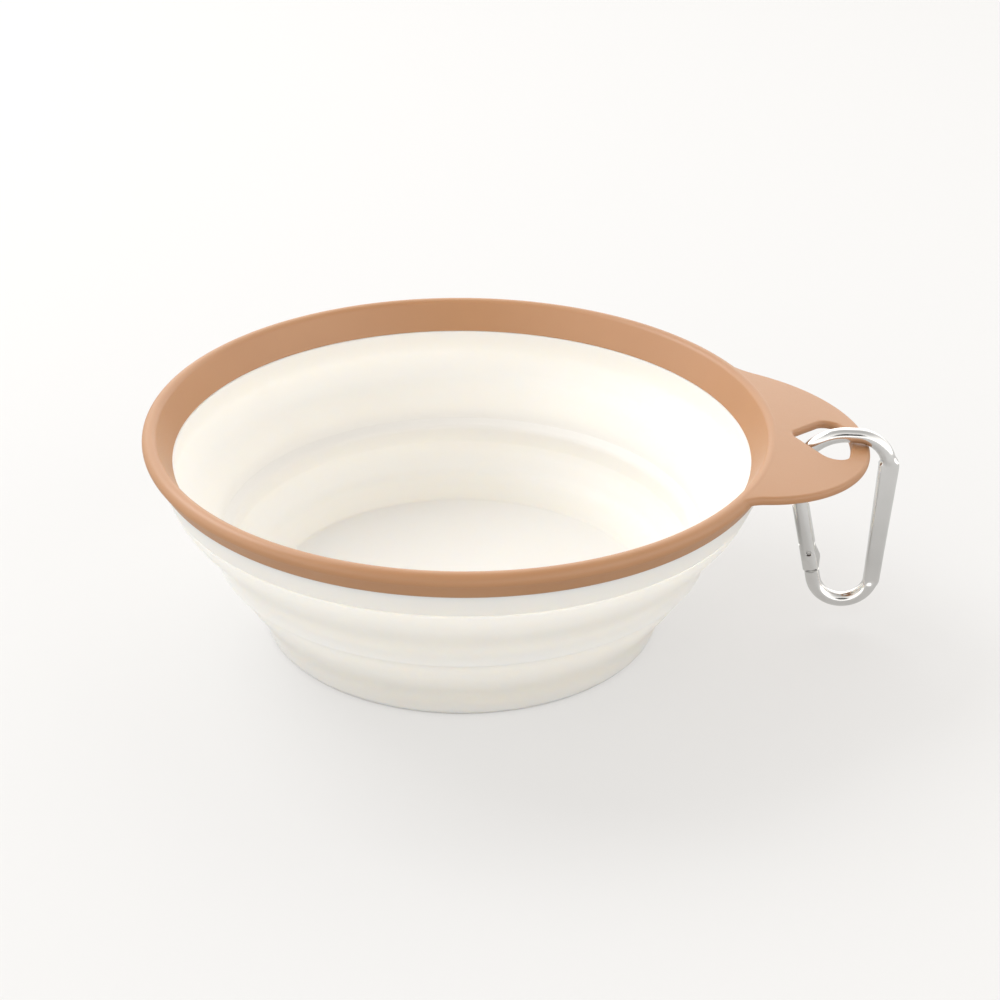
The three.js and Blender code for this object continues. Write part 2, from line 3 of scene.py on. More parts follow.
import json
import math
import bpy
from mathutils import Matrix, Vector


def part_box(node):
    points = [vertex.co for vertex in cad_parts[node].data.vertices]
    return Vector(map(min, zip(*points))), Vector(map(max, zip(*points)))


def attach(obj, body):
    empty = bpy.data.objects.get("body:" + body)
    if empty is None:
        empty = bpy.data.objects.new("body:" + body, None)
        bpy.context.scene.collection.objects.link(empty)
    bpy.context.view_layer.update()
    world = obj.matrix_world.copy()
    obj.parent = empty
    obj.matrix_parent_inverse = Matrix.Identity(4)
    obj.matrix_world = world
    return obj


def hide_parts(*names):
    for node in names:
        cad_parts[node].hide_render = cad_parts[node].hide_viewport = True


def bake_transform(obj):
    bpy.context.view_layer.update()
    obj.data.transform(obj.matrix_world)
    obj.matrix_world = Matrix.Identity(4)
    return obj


bl_info = {
    "name": "Folding travel bowl",
    "version": (1, 0, 0),
    "blender": (4, 5, 0),
    "location": "3D View > Sidebar > Bowl",
    "description": "Builds the visible pieces of a folding travel bowl and the studio round it",
    "category": "Object",
}

import bmesh
import bpy
from bpy.props import FloatProperty, FloatVectorProperty, IntProperty, PointerProperty
from mathutils import Matrix, Vector

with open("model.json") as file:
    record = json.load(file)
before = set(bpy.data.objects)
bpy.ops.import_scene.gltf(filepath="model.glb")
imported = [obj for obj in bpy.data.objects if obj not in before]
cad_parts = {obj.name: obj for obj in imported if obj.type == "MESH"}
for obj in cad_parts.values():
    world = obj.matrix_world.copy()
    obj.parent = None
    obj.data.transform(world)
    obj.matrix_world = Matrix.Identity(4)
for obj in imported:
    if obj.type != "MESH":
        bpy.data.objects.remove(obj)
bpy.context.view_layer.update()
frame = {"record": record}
MM = 0.001
SCATTER_SHARE = "scatter_share"
RIM_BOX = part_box("rim_frame")
JOINTS = {joint["name"]: joint for joint in frame["record"]["behaviour"]["joints"]}
PIVOT = Vector(JOINTS["carabiner_swing"]["pos_m"])
RIVET = Vector(JOINTS["gate_hinge"]["pos_m"])


def length(name, description, millimetres):
    """A length that a user may set, shown in scene units."""
    return FloatProperty(name=name, description=description, default=millimetres * MM,
                         unit="LENGTH", precision=5)


def angle(name, description, degrees):
    """An angle that a user may set."""
    return FloatProperty(name=name, description=description, default=math.radians(degrees),
                         subtype="ANGLE")


def level(name, description, value, **more):
    """A strength or share that a user may set."""
    return FloatProperty(name=name, description=description, default=value, min=0.0, **more)


def steps(name, description, value, least):
    """A count that a user may set."""
    return IntProperty(name=name, description=description, default=value, min=least)


def place(name, description, value, kind="TRANSLATION"):
    """A point that a user may set."""
    return FloatVectorProperty(name=name, description=description, default=value, subtype=kind, size=3,
                               precision=5)


def way(name, description, value):
    """A direction that a user may set."""
    return place(name, description, value, "DIRECTION")


def colour(name, description, value):
    """A colour that a user may set."""
    return FloatVectorProperty(name=name, description=description, default=value,
                               subtype="COLOR", size=3, min=0.0, max=1.0)


class RimSizes(bpy.types.PropertyGroup):
    """Sizes of the hard rim and its hanging tab."""
    radius: length("Rim radius", "Outermost radius of the lip", RIM_BOX[1][1] / MM)
    height: length("Rim height", "Crest of the lip above the table", RIM_BOX[1][2] / MM)
    lip_round: length("Lip round", "Radius of the rounded lip", 1.6)
    mouth_inset: length("Mouth inset", "Lip to the lower edge of the sloping mouth, inwards", 6.0)
    mouth_depth: length("Mouth depth", "Crest to the lower edge of the sloping mouth", 6.7)
    skirt_inset: length("Skirt inset", "Lip to the lower edge of the skirt, inwards", 2.2)
    skirt_depth: length("Skirt depth", "Crest to the lower edge of the skirt", 5.6)
    skirt_step: length("Skirt step", "Set-back of the skirt under the lip's parting line", 0.35)
    tab_reach: length("Tab reach", "Tip of the tab beyond the lip", 18.0)
    tab_radius: length("Tab radius", "Radius of the tab's round outline", 30.0)
    tab_thickness: length("Tab thickness", "Thickness of the tab", 1.8)
    tab_drop: length("Tab drop", "Top of the tab's root below the crest", 0.05)
    tab_slope: level("Tab slope", "Fall of the tab for each unit outwards", 0.14)
    tab_round: length("Tab edge round", "Rounding of the tab's edges", 0.8)
    neck: length("Neck radius", "Concave radius between the tab and the lip", 10.0)
    web: length("Web", "Width of the tab outside its hole", 4.0)
    hole_length: length("Hole length", "Length of the hole along the tab", 11.5)
    hole_half_width: length("Hole half width", "Half the width of the hole", 8.2)
    hole_apex: length("Hole apex round", "Rounding of the hole's inner corner", 1.9)
    hole_corner: length("Hole corner round", "Rounding of the hole's outer corners", 3.1)
    steps: steps("Steps", "Steps round the bowl", 192, 24)


class WallSizes(bpy.types.PropertyGroup):
    """Sizes of the soft wall, from the collar under the rim to the floor."""
    collar_height: length("Collar height", "Height of the collar inside, below the rim", 4.0)
    collar_taper: length("Collar taper", "How far the collar narrows downwards", 1.9)
    collar_round: length("Collar edge round", "Rounding of the collar's lower edge", 0.7)
    groove: length("Groove", "Depth of the groove under the collar", 0.45)
    fold_wall: length("Fold wall", "Thickness of the bands that fold", 0.9)
    ring_wall: length("Ring wall", "Thickness of the stiff steps", 1.5)
    upper_inset: length("Upper inset", "Set-back of the upper step under the collar", 0.5)
    upper_taper: length("Upper taper", "How far the upper step narrows downwards", 8.9)
    upper_ring: length("Upper ring height", "Height of the stiff part of the upper step", 10.2)
    upper_band: length("Upper foot band", "Upright band at the foot of the upper step", 1.4)
    toe_reach: length("Toe reach", "Flange inside the foot of the upper step, under the ridge", 2.3)
    toe_height: length("Toe height", "Height of that flange", 1.6)
    ridge_reach: length("Ridge reach", "How far the ridge stands in from the upper step's foot", 3.2)
    ridge_height: length("Ridge height", "Height of the ridge's edge above that foot", 1.9)
    ridge_root: length("Ridge root", "Height above that foot where the ridge meets the wall", 3.2)
    lower_inset: length("Lower inset", "Set-back of the lower step under the upper one", 1.8)
    lower_taper: length("Lower taper", "How far the lower step narrows downwards", 7.7)
    lower_step: length("Lower step height", "Height of the whole lower step", 17.4)
    lower_ring: length("Lower ring height", "Height of the stiff part of the lower step", 9.2)
    lower_band: length("Lower foot band", "Upright band at the foot of the lower step", 1.2)
    base_round: length("Base edge round", "Rounding of the edge that the bowl stands on", 2.0)
    floor: length("Floor thickness", "Thickness of the floor", 3.9)
    floor_fillet: length("Floor fillet", "Rounding between the floor and the wall", 0.8)
    band_steps: steps("Band steps", "Steps up each band of the wall", 16, 4)


class CarabinerSizes(bpy.types.PropertyGroup):
    """Sizes of the carabiner, its gate and what is inside the gate."""
    bar: length("Bar", "Diameter of the bent bar", 3.1)
    spine_head: length("Spine head width", "Width of the pressed spine at its top", 4.0)
    spine_foot: length("Spine foot width", "Width of the pressed spine at its bottom", 3.2)
    spine_thickness: length("Spine thickness", "Thickness of the pressed spine", 2.4)
    spine_chamfer: length("Spine chamfer", "Chamfer along the pressed spine", 0.35)
    spine_blend: length("Spine blend", "Length over which the round bar turns flat", 1.4)
    spine_overrun: length("Spine overrun", "How far the flat runs on into the bends", 2.3)
    spine_lean: angle("Spine lean", "Lean of the spine from upright", 1.9)
    reach: length("Reach", "Spine's centre line outside the pivot", 7.35)
    depth: length("Depth", "Lowest centre line below the pivot", 35.85)
    pivot_gap: length("Pivot gap", "Clearance between the bar and the tab", 0.25)
    bottom_bend: length("Bottom bend", "Centre-line radius of the bottom bend", 6.15)
    outer_bend: length("Outer bend", "Centre-line radius of the outer top bend", 7.0)
    nose_bend: length("Nose bend", "Centre-line radius of the nose bend", 9.5)
    lean: angle("Gate lean", "Lean of the shut gate from upright", 13.1)
    gate: length("Gate", "Diameter of the gate", 3.5)
    rivet_from_bend: length("Rivet from bend", "Rivet above the end of the bottom bend", 6.9)
    hinge_stub: length("Hinge stub", "Straight bar between the bottom bend and its shoulder", 2.2)
    nose_stub: length("Nose stub", "Straight bar between the nose bend and its shoulder", 0.65)
    shoulder_gap: length("Shoulder gap", "Gap between the gate and each shoulder", 0.6)
    slot: length("Fork slot", "Width of the slot in each fork of the gate", 2.0)
    hinge_slot: length("Hinge slot", "Top of the hinge slot above the rivet", 2.05)
    latch_slot: length("Latch slot", "Depth of the latch slot", 3.4)
    tang: length("Tang thickness", "Thickness of the tang and of the latch hook", 1.4)
    tang_root: length("Tang root", "Length of the tang and the hook inside the bar", 0.8)
    tang_shoulder: length("Tang shoulder", "Top of the tang's outer side above the rivet", 1.6)
    lug_reach: length("Lug reach", "How far the tang's lug stands out of the gate", 0.45)
    lug_drop: length("Lug drop", "Point of the lug below the rivet", 1.6)
    hook_width: length("Hook width", "Width of the latch hook", 2.5)
    rivet: length("Rivet", "Diameter of the rivet", 0.9)
    latch_pin: length("Latch pin", "Diameter of the latch pin", 1.0)
    latch_from_end: length("Latch from end", "Latch pin below the gate's end", 1.6)
    latch_lip: length("Latch lip", "Height of the hook's lip", 0.6)
    bore: length("Bore", "Diameter of the gate's bore", 2.2)
    bore_depth: length("Bore depth", "Depth of the bore above the hinge slot", 7.3)
    cam: length("Cam radius", "Radius of the tang's cam when the gate is shut", 1.3)
    cam_rise: length("Cam rise", "Rise of the cam over the gate's travel", 0.6)
    travel: angle("Gate travel", "Turn over which the cam rises", 30.0)
    plunger: length("Plunger", "Diameter of the plunger", 1.7)
    plunger_length: length("Plunger length", "Length of the plunger", 3.0)
    spring: length("Spring", "Outside diameter of the spring", 1.7)
    wire: length("Wire", "Diameter of the spring's wire", 0.3)
    turns: steps("Turns", "Turns of the spring", 4, 1)
    gap: length("Running gap", "Clearance round moving pieces", 0.3)
    pin_gap: length("Pin gap", "Clearance round the pins", 0.15)


class Finishes(bpy.types.PropertyGroup):
    """Colours of the bowl's materials."""
    tan: colour("Tan", "Main colour of the hard rim", (0.432, 0.203, 0.078))
    tan_pale: colour("Pale tan", "Paler flow marks in the hard rim", (0.461, 0.224, 0.092))
    cream: colour("Cream", "Main colour of the soft wall", (0.872, 0.857, 0.818))
    cream_pale: colour("Pale cream", "Paler clouding of the soft wall", (0.888, 0.874, 0.838))
    scatter: level("Scatter", "Share of the light that goes into the soft wall", 0.90, max=1.0)
    metal: colour("Aluminium", "Colour of the bare aluminium", (0.860, 0.856, 0.845))
    metal_dull: colour("Dull aluminium", "Rubbed streaks of the aluminium", (0.760, 0.755, 0.742))
    steel: colour("Steel", "Colour of the small steel pieces", (0.520, 0.510, 0.495))
    steel_dull: colour("Dull steel", "Rubbed streaks of the steel", (0.400, 0.392, 0.380))


class Studio(bpy.types.PropertyGroup):
    """Camera, lamps and floor."""
    eye: place("Camera place", "Where the camera stands", (0.0313, -0.3575, 0.2181))
    target: place("Camera target", "What the camera looks at", (0.00783, 0.00069, 0.02574))
    roll: angle("Camera roll", "Turn of the camera about its own view", 0.80214)
    lens: FloatProperty(name="Lens", description="Focal length", default=69.92, unit="CAMERA")
    floor: colour("Floor", "Colour of the pale floor", (0.400, 0.402, 0.402))
    floor_glow: colour("Floor glow", "Light that the floor gives off itself", (0.440, 0.431, 0.422))
    floor_bounce: level("Floor bounce", "Share of that glow that lights the bowl", 0.45, max=1.0)
    contact_inner: length("Contact inner", "Distance from the axis where the glow starts", 38.0)
    contact_outer: length("Contact outer", "Distance from the axis where the glow is back", 60.0)
    sky: colour("Sky", "Colour of the soft light from all round", (1.0, 0.982, 0.955))
    sky_level: level("Sky level", "Strength of the light from low all round", 1.30)
    sky_top: level("Sky top", "Strength of the light from straight above", 0.48)
    window: level("Window", "Strength of the broad window behind the bowl", 1.0)
    window_way: way("Window way", "Where the window is seen from the bowl", (0.05, 0.86, 0.50))
    window_inner: angle("Window inner", "Half angle of the window", 22.0)
    window_outer: angle("Window outer", "Half angle where the window has faded", 48.0)
    fill: level("Fill", "Strength of the broad fill in front of the bowl", 0.32)
    fill_way: way("Fill way", "Where the fill is seen from the bowl", (-0.10, -0.97, 0.16))
    fill_inner: angle("Fill inner", "Half angle of the fill", 22.0)
    fill_outer: angle("Fill outer", "Half angle where the fill has faded", 65.0)
    dark_level: level("Dark level", "Light from where the camera stands", 0.04)
    dark_inner: angle("Dark inner", "Half angle that is fully dark", 9.0)
    dark_outer: angle("Dark outer", "Half angle where the dark has faded", 17.0)
    side: level("Side", "Strength of the fills to the left and the right", 0.64)
    side_way: way("Side way", "Where the right-hand fill is seen from the bowl", (0.92, -0.30, 0.12))
    side_inner: angle("Side inner", "Half angle of each side fill", 10.0)
    side_outer: angle("Side outer", "Half angle where a side fill has faded", 50.0)
    key_power: level("Key power", "Strength of the big soft lamp", 4.6, unit="POWER")
    key_place: place("Key place", "Where the big soft lamp hangs", (-0.66, 0.32, 0.78))
    key_target: place("Key target", "What the big soft lamp points at", (0.0, 0.0, 0.03))
    key_size: length("Key size", "Side of the big soft lamp", 600.0)
    key_tint: colour("Key tint", "Colour of the big soft lamp", (0.985, 0.990, 1.0))


# Node trees

TURN_WELD = 1e-6
COIL_STEPS = 32
WIRE_SIDES = 12
NOISE_LOW = 0.3
NOISE_HIGH = 0.7


def link(tree, source, output, target, socket):
    """Joins an output of one node to an input of another."""
    tree.links.new(source.outputs[output], target.inputs[socket])


def add_node(tree, kind, inputs, **settings):
    """A node with its settings; inputs are fed by nodes (their first output), by sockets or by values."""
    node = tree.nodes.new(kind)
    for key, value in settings.items():
        setattr(node, key, value)
    for key, value in inputs.items():
        if isinstance(value, bpy.types.Node):
            value = value.outputs[0]
        if isinstance(value, bpy.types.NodeSocket):
            tree.links.new(value, node.inputs[key])
        else:
            node.inputs[key].default_value = value
    return node


def math_node(tree, operation, *values):
    """A Math node."""
    return add_node(tree, "ShaderNodeMath", dict(enumerate(values)), operation=operation)


def made_once(name, kind, inputs, outputs, fill):
    """A node group by name; the first time, it gets its named sockets and is filled."""
    tree = bpy.data.node_groups.get(name)
    if tree is None:
        tree = bpy.data.node_groups.new(name, kind)
        for way, sockets in (("INPUT", inputs), ("OUTPUT", outputs)):
            for label, data in sockets.items():
                tree.interface.new_socket(name=label, in_out=way, socket_type="NodeSocket" + data)
        fill(tree, tree.nodes.new("NodeGroupInput"))
    return tree


def end_geometry(tree, geometry, material):
    """Ends a geometry tree in realized geometry with its material."""
    realize = add_node(tree, "GeometryNodeRealizeInstances", {0: geometry})
    finish = add_node(tree, "GeometryNodeSetMaterial", {"Geometry": realize, "Material": material})
    add_node(tree, "NodeGroupOutput", {0: finish})


def fill_revolve(tree, given):
    """Turns a line of points (radius in X, height in Z) about the Z axis."""
    profile = given.outputs["Profile"]
    size = add_node(tree, "GeometryNodeAttributeDomainSize", {"Geometry": profile})
    around = math_node(tree, "ADD", given.outputs["Steps"], 1)
    grid = add_node(tree, "GeometryNodeMeshGrid",
                    {"Vertices X": size.outputs["Point Count"], "Vertices Y": around})
    index = tree.nodes.new("GeometryNodeInputIndex")
    along = math_node(tree, "FLOOR", math_node(tree, "DIVIDE", index, around))
    step = math_node(tree, "SUBTRACT", index, math_node(tree, "MULTIPLY", along, around))
    turn = math_node(tree, "DIVIDE", math_node(tree, "MULTIPLY", step, 2.0 * math.pi),
                     given.outputs["Steps"])
    where = tree.nodes.new("GeometryNodeInputPosition")
    sample = add_node(tree, "GeometryNodeSampleIndex",
                      {"Geometry": profile, "Value": where, "Index": along}, data_type="FLOAT_VECTOR")
    split = add_node(tree, "ShaderNodeSeparateXYZ", {0: sample})
    radius = split.outputs["X"]
    join = add_node(tree, "ShaderNodeCombineXYZ", {
        "X": math_node(tree, "MULTIPLY", radius, math_node(tree, "COSINE", turn)),
        "Y": math_node(tree, "MULTIPLY", radius, math_node(tree, "SINE", turn)),
        "Z": split.outputs["Z"]})
    put = add_node(tree, "GeometryNodeSetPosition", {"Geometry": grid, "Position": join})
    welded = add_node(tree, "GeometryNodeMergeByDistance", {"Geometry": put, "Distance": TURN_WELD})
    flip = add_node(tree, "GeometryNodeFlipFaces", {"Mesh": welded})
    end_geometry(tree, flip, given.outputs["Finish"])


def revolve_tree():
    """The geometry group of every turned piece."""
    return made_once("Turned profile", "GeometryNodeTree",
                     {"Profile": "Geometry", "Steps": "Int", "Finish": "Material"},
                     {"Piece": "Geometry"}, fill_revolve)


def fill_coil(tree, given):
    """Winds a round wire into an open coil about the Z axis."""
    values = given.outputs
    spiral = add_node(tree, "GeometryNodeCurveSpiral", {
        "Resolution": COIL_STEPS, "Rotations": values["Turns"], "Start Radius": values["Radius"],
        "End Radius": values["Radius"], "Height": values["Height"]})
    lift = add_node(tree, "ShaderNodeCombineXYZ", {"Z": values["Low"]})
    put = add_node(tree, "GeometryNodeSetPosition", {"Geometry": spiral, "Offset": lift})
    wire = add_node(tree, "GeometryNodeCurvePrimitiveCircle",
                    {"Resolution": WIRE_SIDES, "Radius": values["Wire"]})
    sweep = add_node(tree, "GeometryNodeCurveToMesh",
                     {"Curve": put, "Profile Curve": wire, "Fill Caps": True})
    end_geometry(tree, sweep, values["Finish"])


def coil_tree():
    """The geometry group of the spring."""
    return made_once("Wound coil", "GeometryNodeTree",
                     {"Start": "Geometry", "Turns": "Float", "Radius": "Float", "Height": "Float",
                      "Wire": "Float", "Low": "Float", "Finish": "Material"},
                     {"Piece": "Geometry"}, fill_coil)


def noise_group(name, coarse, fine, stretch=None):
    """A shader group with a coarse and a fine noise, which may be drawn out; each has its own scale."""
    def fill(tree, given):
        out = tree.nodes.new("NodeGroupOutput")
        where = tree.nodes.new("ShaderNodeTexCoord").outputs["Object"]
        for label, detail, drawn in ((*coarse, None), (*fine, stretch)):
            source = where
            if drawn:
                source = add_node(tree, "ShaderNodeMapping", {"Vector": where, "Scale": drawn})
            noise = add_node(tree, "ShaderNodeTexNoise", {
                "Vector": source, "Scale": given.outputs[label + " scale"], "Detail": detail})
            link(tree, noise, 0, out, label)

    labels = (coarse[0], fine[0])
    return made_once(name, "ShaderNodeTree", {label + " scale": "Float" for label in labels},
                     {label: "Float" for label in labels}, fill)


# Materials

def start_material(name):
    """A node material with its shader, or None and the material if it is already made."""
    made = bpy.data.materials.get(name)
    if made:
        return made, None
    material = bpy.data.materials.new(name)
    material.use_nodes = True
    return material, material.node_tree.nodes["Principled BSDF"]


def place_group(tree, group, **values):
    """Places a shader group in a material with its own values."""
    node = tree.nodes.new("ShaderNodeGroup")
    node.node_tree = group
    for socket, value in values.items():
        node.inputs[socket.replace("_", " ").capitalize()].default_value = value
    return node


def two_tone(tree, mask, first, second):
    """Mixes two colours by a mask."""
    mix = add_node(tree, "ShaderNodeMix", {"A": (*first, 1.0), "B": (*second, 1.0), "Factor": mask},
                   data_type="RGBA")
    return mix.outputs["Result"]


def ranged(tree, value, start, end, low, high, curve="LINEAR"):
    """Maps a range of a value on to two levels."""
    return add_node(tree, "ShaderNodeMapRange", {
        "Value": value, "From Min": start, "From Max": end, "To Min": low, "To Max": high},
        interpolation_type=curve)


def spread(tree, noise, low, high):
    """Maps a noise's middle range on to two values."""
    return ranged(tree, noise, NOISE_LOW, NOISE_HIGH, low, high).outputs[0]


def surface(tree, shader, mask, tones, grain, rough, bump):
    """Feeds a shader with two tones, and with roughness and bumps from a fine noise."""
    tree.links.new(two_tone(tree, mask, *tones), shader.inputs["Base Color"])
    tree.links.new(spread(tree, grain, *rough), shader.inputs["Roughness"])
    bumps = add_node(tree, "ShaderNodeBump", {"Height": grain, "Strength": bump[0], "Distance": bump[1]})
    link(tree, bumps, 0, shader, "Normal")


def moulded(name, tones, rough, scales, bump, scatter, gloss):
    """A moulded plastic or rubber: clouded colour, fine grain and a little light inside it."""
    material, shader = start_material(name)
    if shader is None:
        return material
    tree = material.node_tree
    group = noise_group("Moulded grain", ("Cloud", 3.0), ("Grain", 2.0))
    grain = place_group(tree, group, cloud_scale=scales[0], grain_scale=scales[1])
    cloud = spread(tree, grain.outputs["Cloud"], 0.0, 1.0)
    surface(tree, shader, cloud, tones, grain.outputs["Grain"], rough, bump)
    shader.inputs["IOR"].default_value = gloss
    for key, value in zip(("Weight", "Radius", "Scale"), scatter):
        shader.inputs["Subsurface " + key].default_value = value
    return material


def rim_plastic(context):
    """Satin tan plastic of the rim."""
    tones = context.scene.bowl_finishes
    return moulded("satin_tan_plastic", (tones.tan, tones.tan_pale), rough=(0.40, 0.50),
                   scales=(38.0, 5200.0), bump=(0.10, 0.00003),
                   scatter=(0.12, (1.0, 0.45, 0.25), 0.0015), gloss=1.76)


def axis_distance(tree):
    """A socket with a point's distance from the bowl's axis."""
    where = tree.nodes.new("ShaderNodeTexCoord").outputs["Object"]
    split = add_node(tree, "ShaderNodeSeparateXYZ", {0: where})
    squares = [math_node(tree, "MULTIPLY", split.outputs[k], split.outputs[k]) for k in (0, 1)]
    return math_node(tree, "SQRT", math_node(tree, "ADD", *squares)).outputs[0]


def soft_wall(context):
    """Matte cream rubber of the wall; the share of light that goes into it is marked on the mesh."""
    tones = context.scene.bowl_finishes
    material = moulded("matte_cream_rubber", (tones.cream, tones.cream_pale), rough=(0.46, 0.60),
                       scales=(24.0, 3800.0), bump=(0.08, 0.00004),
                       scatter=(tones.scatter, (1.0, 0.92, 0.80), 0.0014), gloss=1.45)
    tree = material.node_tree
    weight = tree.nodes["Principled BSDF"].inputs["Subsurface Weight"]
    if not weight.is_linked:
        share = add_node(tree, "ShaderNodeAttribute", {}, attribute_name=SCATTER_SHARE)
        tree.links.new(share.outputs["Fac"], weight)
    return material


def bare_metal(name, tones, rough):
    """A bare metal with fine drawn streaks."""
    material, shader = start_material(name)
    if shader is None:
        return material
    tree = material.node_tree
    group = noise_group("Rubbed metal", ("Patch", 2.0), ("Streak", 2.0), (1.0, 1.0, 0.06))
    rubbed = place_group(tree, group, streak_scale=1400.0, patch_scale=160.0)
    patch = spread(tree, rubbed.outputs["Patch"], 0.0, 0.6)
    surface(tree, shader, patch, tones, rubbed.outputs["Streak"], rough, bump=(0.06, 0.00003))
    shader.inputs["Metallic"].default_value = 1.0
    return material


def aluminium(context):
    """Polished aluminium of the carabiner."""
    tones = context.scene.bowl_finishes
    return bare_metal("polished_aluminium", (tones.metal, tones.metal_dull), rough=(0.11, 0.18))


def steel(context):
    """Plain steel of the rivet, pin, plunger and spring."""
    tones = context.scene.bowl_finishes
    return bare_metal("plain_steel", (tones.steel, tones.steel_dull), rough=(0.28, 0.42))


# Mesh helpers

ROUND_SHARE = 0.48
FLAT_WEIGHT = 80
EDGE_ANGLE = 50.0


def new_piece(name, mesh):
    """Links a mesh to the scene as an object at the origin."""
    piece = bpy.data.objects.new(name, mesh)
    bpy.context.scene.collection.objects.link(piece)
    return piece


def worked_piece(name, work):
    """A piece from a worked mesh, which is freed."""
    mesh = bpy.data.meshes.new(name)
    work.to_mesh(mesh)
    work.free()
    return new_piece(name, mesh)


def settle(piece):
    """Turns a piece with modifiers into a plain mesh."""
    graph = bpy.context.evaluated_depsgraph_get()
    mesh = bpy.data.meshes.new_from_object(piece.evaluated_get(graph))
    piece.modifiers.clear()
    piece.data = mesh


def run_tree(piece, tree, **values):
    """Runs a geometry tree on a piece with values for its named inputs."""
    modifier = piece.modifiers.new("shape", "NODES")
    modifier.node_group = tree
    for item in tree.interface.items_tree:
        key = item.name.lower()
        if item.in_out == "INPUT" and key in values:
            modifier[item.identifier] = values[key]
    settle(piece)


def turned(name, profile, steps, material):
    """A piece turned about Z from a closed profile, or one that starts and ends on the axis."""
    points = list(profile)
    if points[0][0] > 0.0 or points[-1][0] > 0.0:
        points.append(points[0])
    mesh = bpy.data.meshes.new(name)
    mesh.from_pydata([(r, 0.0, z) for r, z in points],
                     [(i, i + 1) for i in range(len(points) - 1)], [])
    piece = new_piece(name, mesh)
    run_tree(piece, revolve_tree(), steps=steps, finish=material)
    return piece


def shade(piece, degrees=35.0):
    """Smooth shading with creases kept."""
    piece.data.shade_smooth()
    piece.data.set_sharp_from_angle(angle=math.radians(degrees))


def even_normals(piece):
    """Keeps flat faces flat beside their rounded edges."""
    modifier = piece.modifiers.new("even", "WEIGHTED_NORMAL")
    modifier.keep_sharp = True
    modifier.weight = FLAT_WEIGHT
    settle(piece)


def cut_or_join(piece, other, operation):
    """Joins another piece to this one, or cuts it out, and removes the other."""
    modifier = piece.modifiers.new("bool", "BOOLEAN")
    modifier.operation = operation
    modifier.solver = "EXACT"
    modifier.object = other
    settle(piece)
    bpy.data.objects.remove(other)


def weld(piece, distance):
    """Melts the slivers that a join leaves."""
    work = bmesh.new()
    work.from_mesh(piece.data)
    bmesh.ops.remove_doubles(work, verts=work.verts, dist=distance)
    bmesh.ops.dissolve_degenerate(work, edges=work.edges, dist=distance / 2.0)
    work.to_mesh(piece.data)
    work.free()


def rounded(corners, steps=6):
    """A closed line through (x, y, radius) corners, each with its own rounding."""
    line = []
    for i, (x, y, radius) in enumerate(corners):
        here = Vector((x, y))
        if radius <= 0.0:
            line.append((x, y))
            continue
        before = Vector(corners[i - 1][:2]) - here
        after = Vector(corners[(i + 1) % len(corners)][:2]) - here
        half = before.angle(after) / 2.0
        reach = min(radius / math.tan(half), ROUND_SHARE * before.length, ROUND_SHARE * after.length)
        true_radius = reach * math.tan(half)
        middle = (before.normalized() + after.normalized()).normalized()
        centre = here + middle * (true_radius / math.sin(half))
        start = here + before.normalized() * reach - centre
        end = here + after.normalized() * reach - centre
        swing = start.angle_signed(end)
        for k in range(steps + 1):
            turn = Matrix.Rotation(-swing * k / steps, 2)
            line.append(tuple(centre + turn @ start))
    return line


def arc(centre, radius, start, end, steps):
    """Points on an arc, both ends included."""
    return [(centre[0] + radius * math.cos(start + (end - start) * k / steps),
             centre[1] + radius * math.sin(start + (end - start) * k / steps))
            for k in range(steps + 1)]


def blend_value(low, high, t):
    """A value between two others."""
    return low + (high - low) * t


def ease(t):
    """A smooth step from 0 to 1."""
    t = min(max(t, 0.0), 1.0)
    return t * t * (3.0 - 2.0 * t)


def stand_in(piece, slot, *nodes):
    """Hides the nodes that a piece stands for; the finish is not used."""
    for node in nodes:
        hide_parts(node)


def dress(piece, body, slot, *nodes):
    """Hangs a finished piece on the empty of its body and hides the nodes that it stands for; the finish
    is not used.
    """
    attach(piece, body)
    stand_in(piece, slot, *nodes)


# Rim and tab: small sizes and step counts of their outlines

LIP_START = -0.66
LIP_STEPS = 26
MOUTH_ROUND = 0.25 * MM
SKIRT_ROUND = 0.35 * MM
PARTING_DROP = 0.12 * MM
PARTING_ROUND = 0.08 * MM
RIM_WELD = 0.05 * MM
RIM_CREASE = 32.0
TAB_STEPS = 64
NECK_STEPS = 14
ROOT_STEPS = 48
TAB_WELD = 2e-6
TAB_EDGE_STEPS = 5
HOLE_SIDE_STEPS = 12
HOLE_CORNER_STEPS = 20
HOLE_APEX_STEPS = 14


def rim_profile(rim):
    """Section of the rim: sloping mouth, round lip, parting line and set-back skirt."""
    lip = Vector((rim.radius - rim.lip_round, rim.height - rim.lip_round))
    mouth = Vector((rim.radius - rim.mouth_inset, rim.height - rim.mouth_depth))
    skirt = Vector((rim.radius - rim.skirt_inset, rim.height - rim.skirt_depth))
    to_lip = lip - mouth
    lip_end = math.atan2(to_lip.y, to_lip.x) + math.asin(rim.lip_round / to_lip.length) + math.pi / 2
    lip_line = arc(lip, rim.lip_round, LIP_START, lip_end, LIP_STEPS)
    under_lip = Vector(lip_line[0])
    corners = [(mouth.x, mouth.y, MOUTH_ROUND),
               (skirt.x, skirt.y, SKIRT_ROUND),
               (under_lip.x - rim.skirt_step, under_lip.y - PARTING_DROP, PARTING_ROUND)]
    corners += [(x, y, 0.0) for x, y in lip_line]
    return rounded(corners)


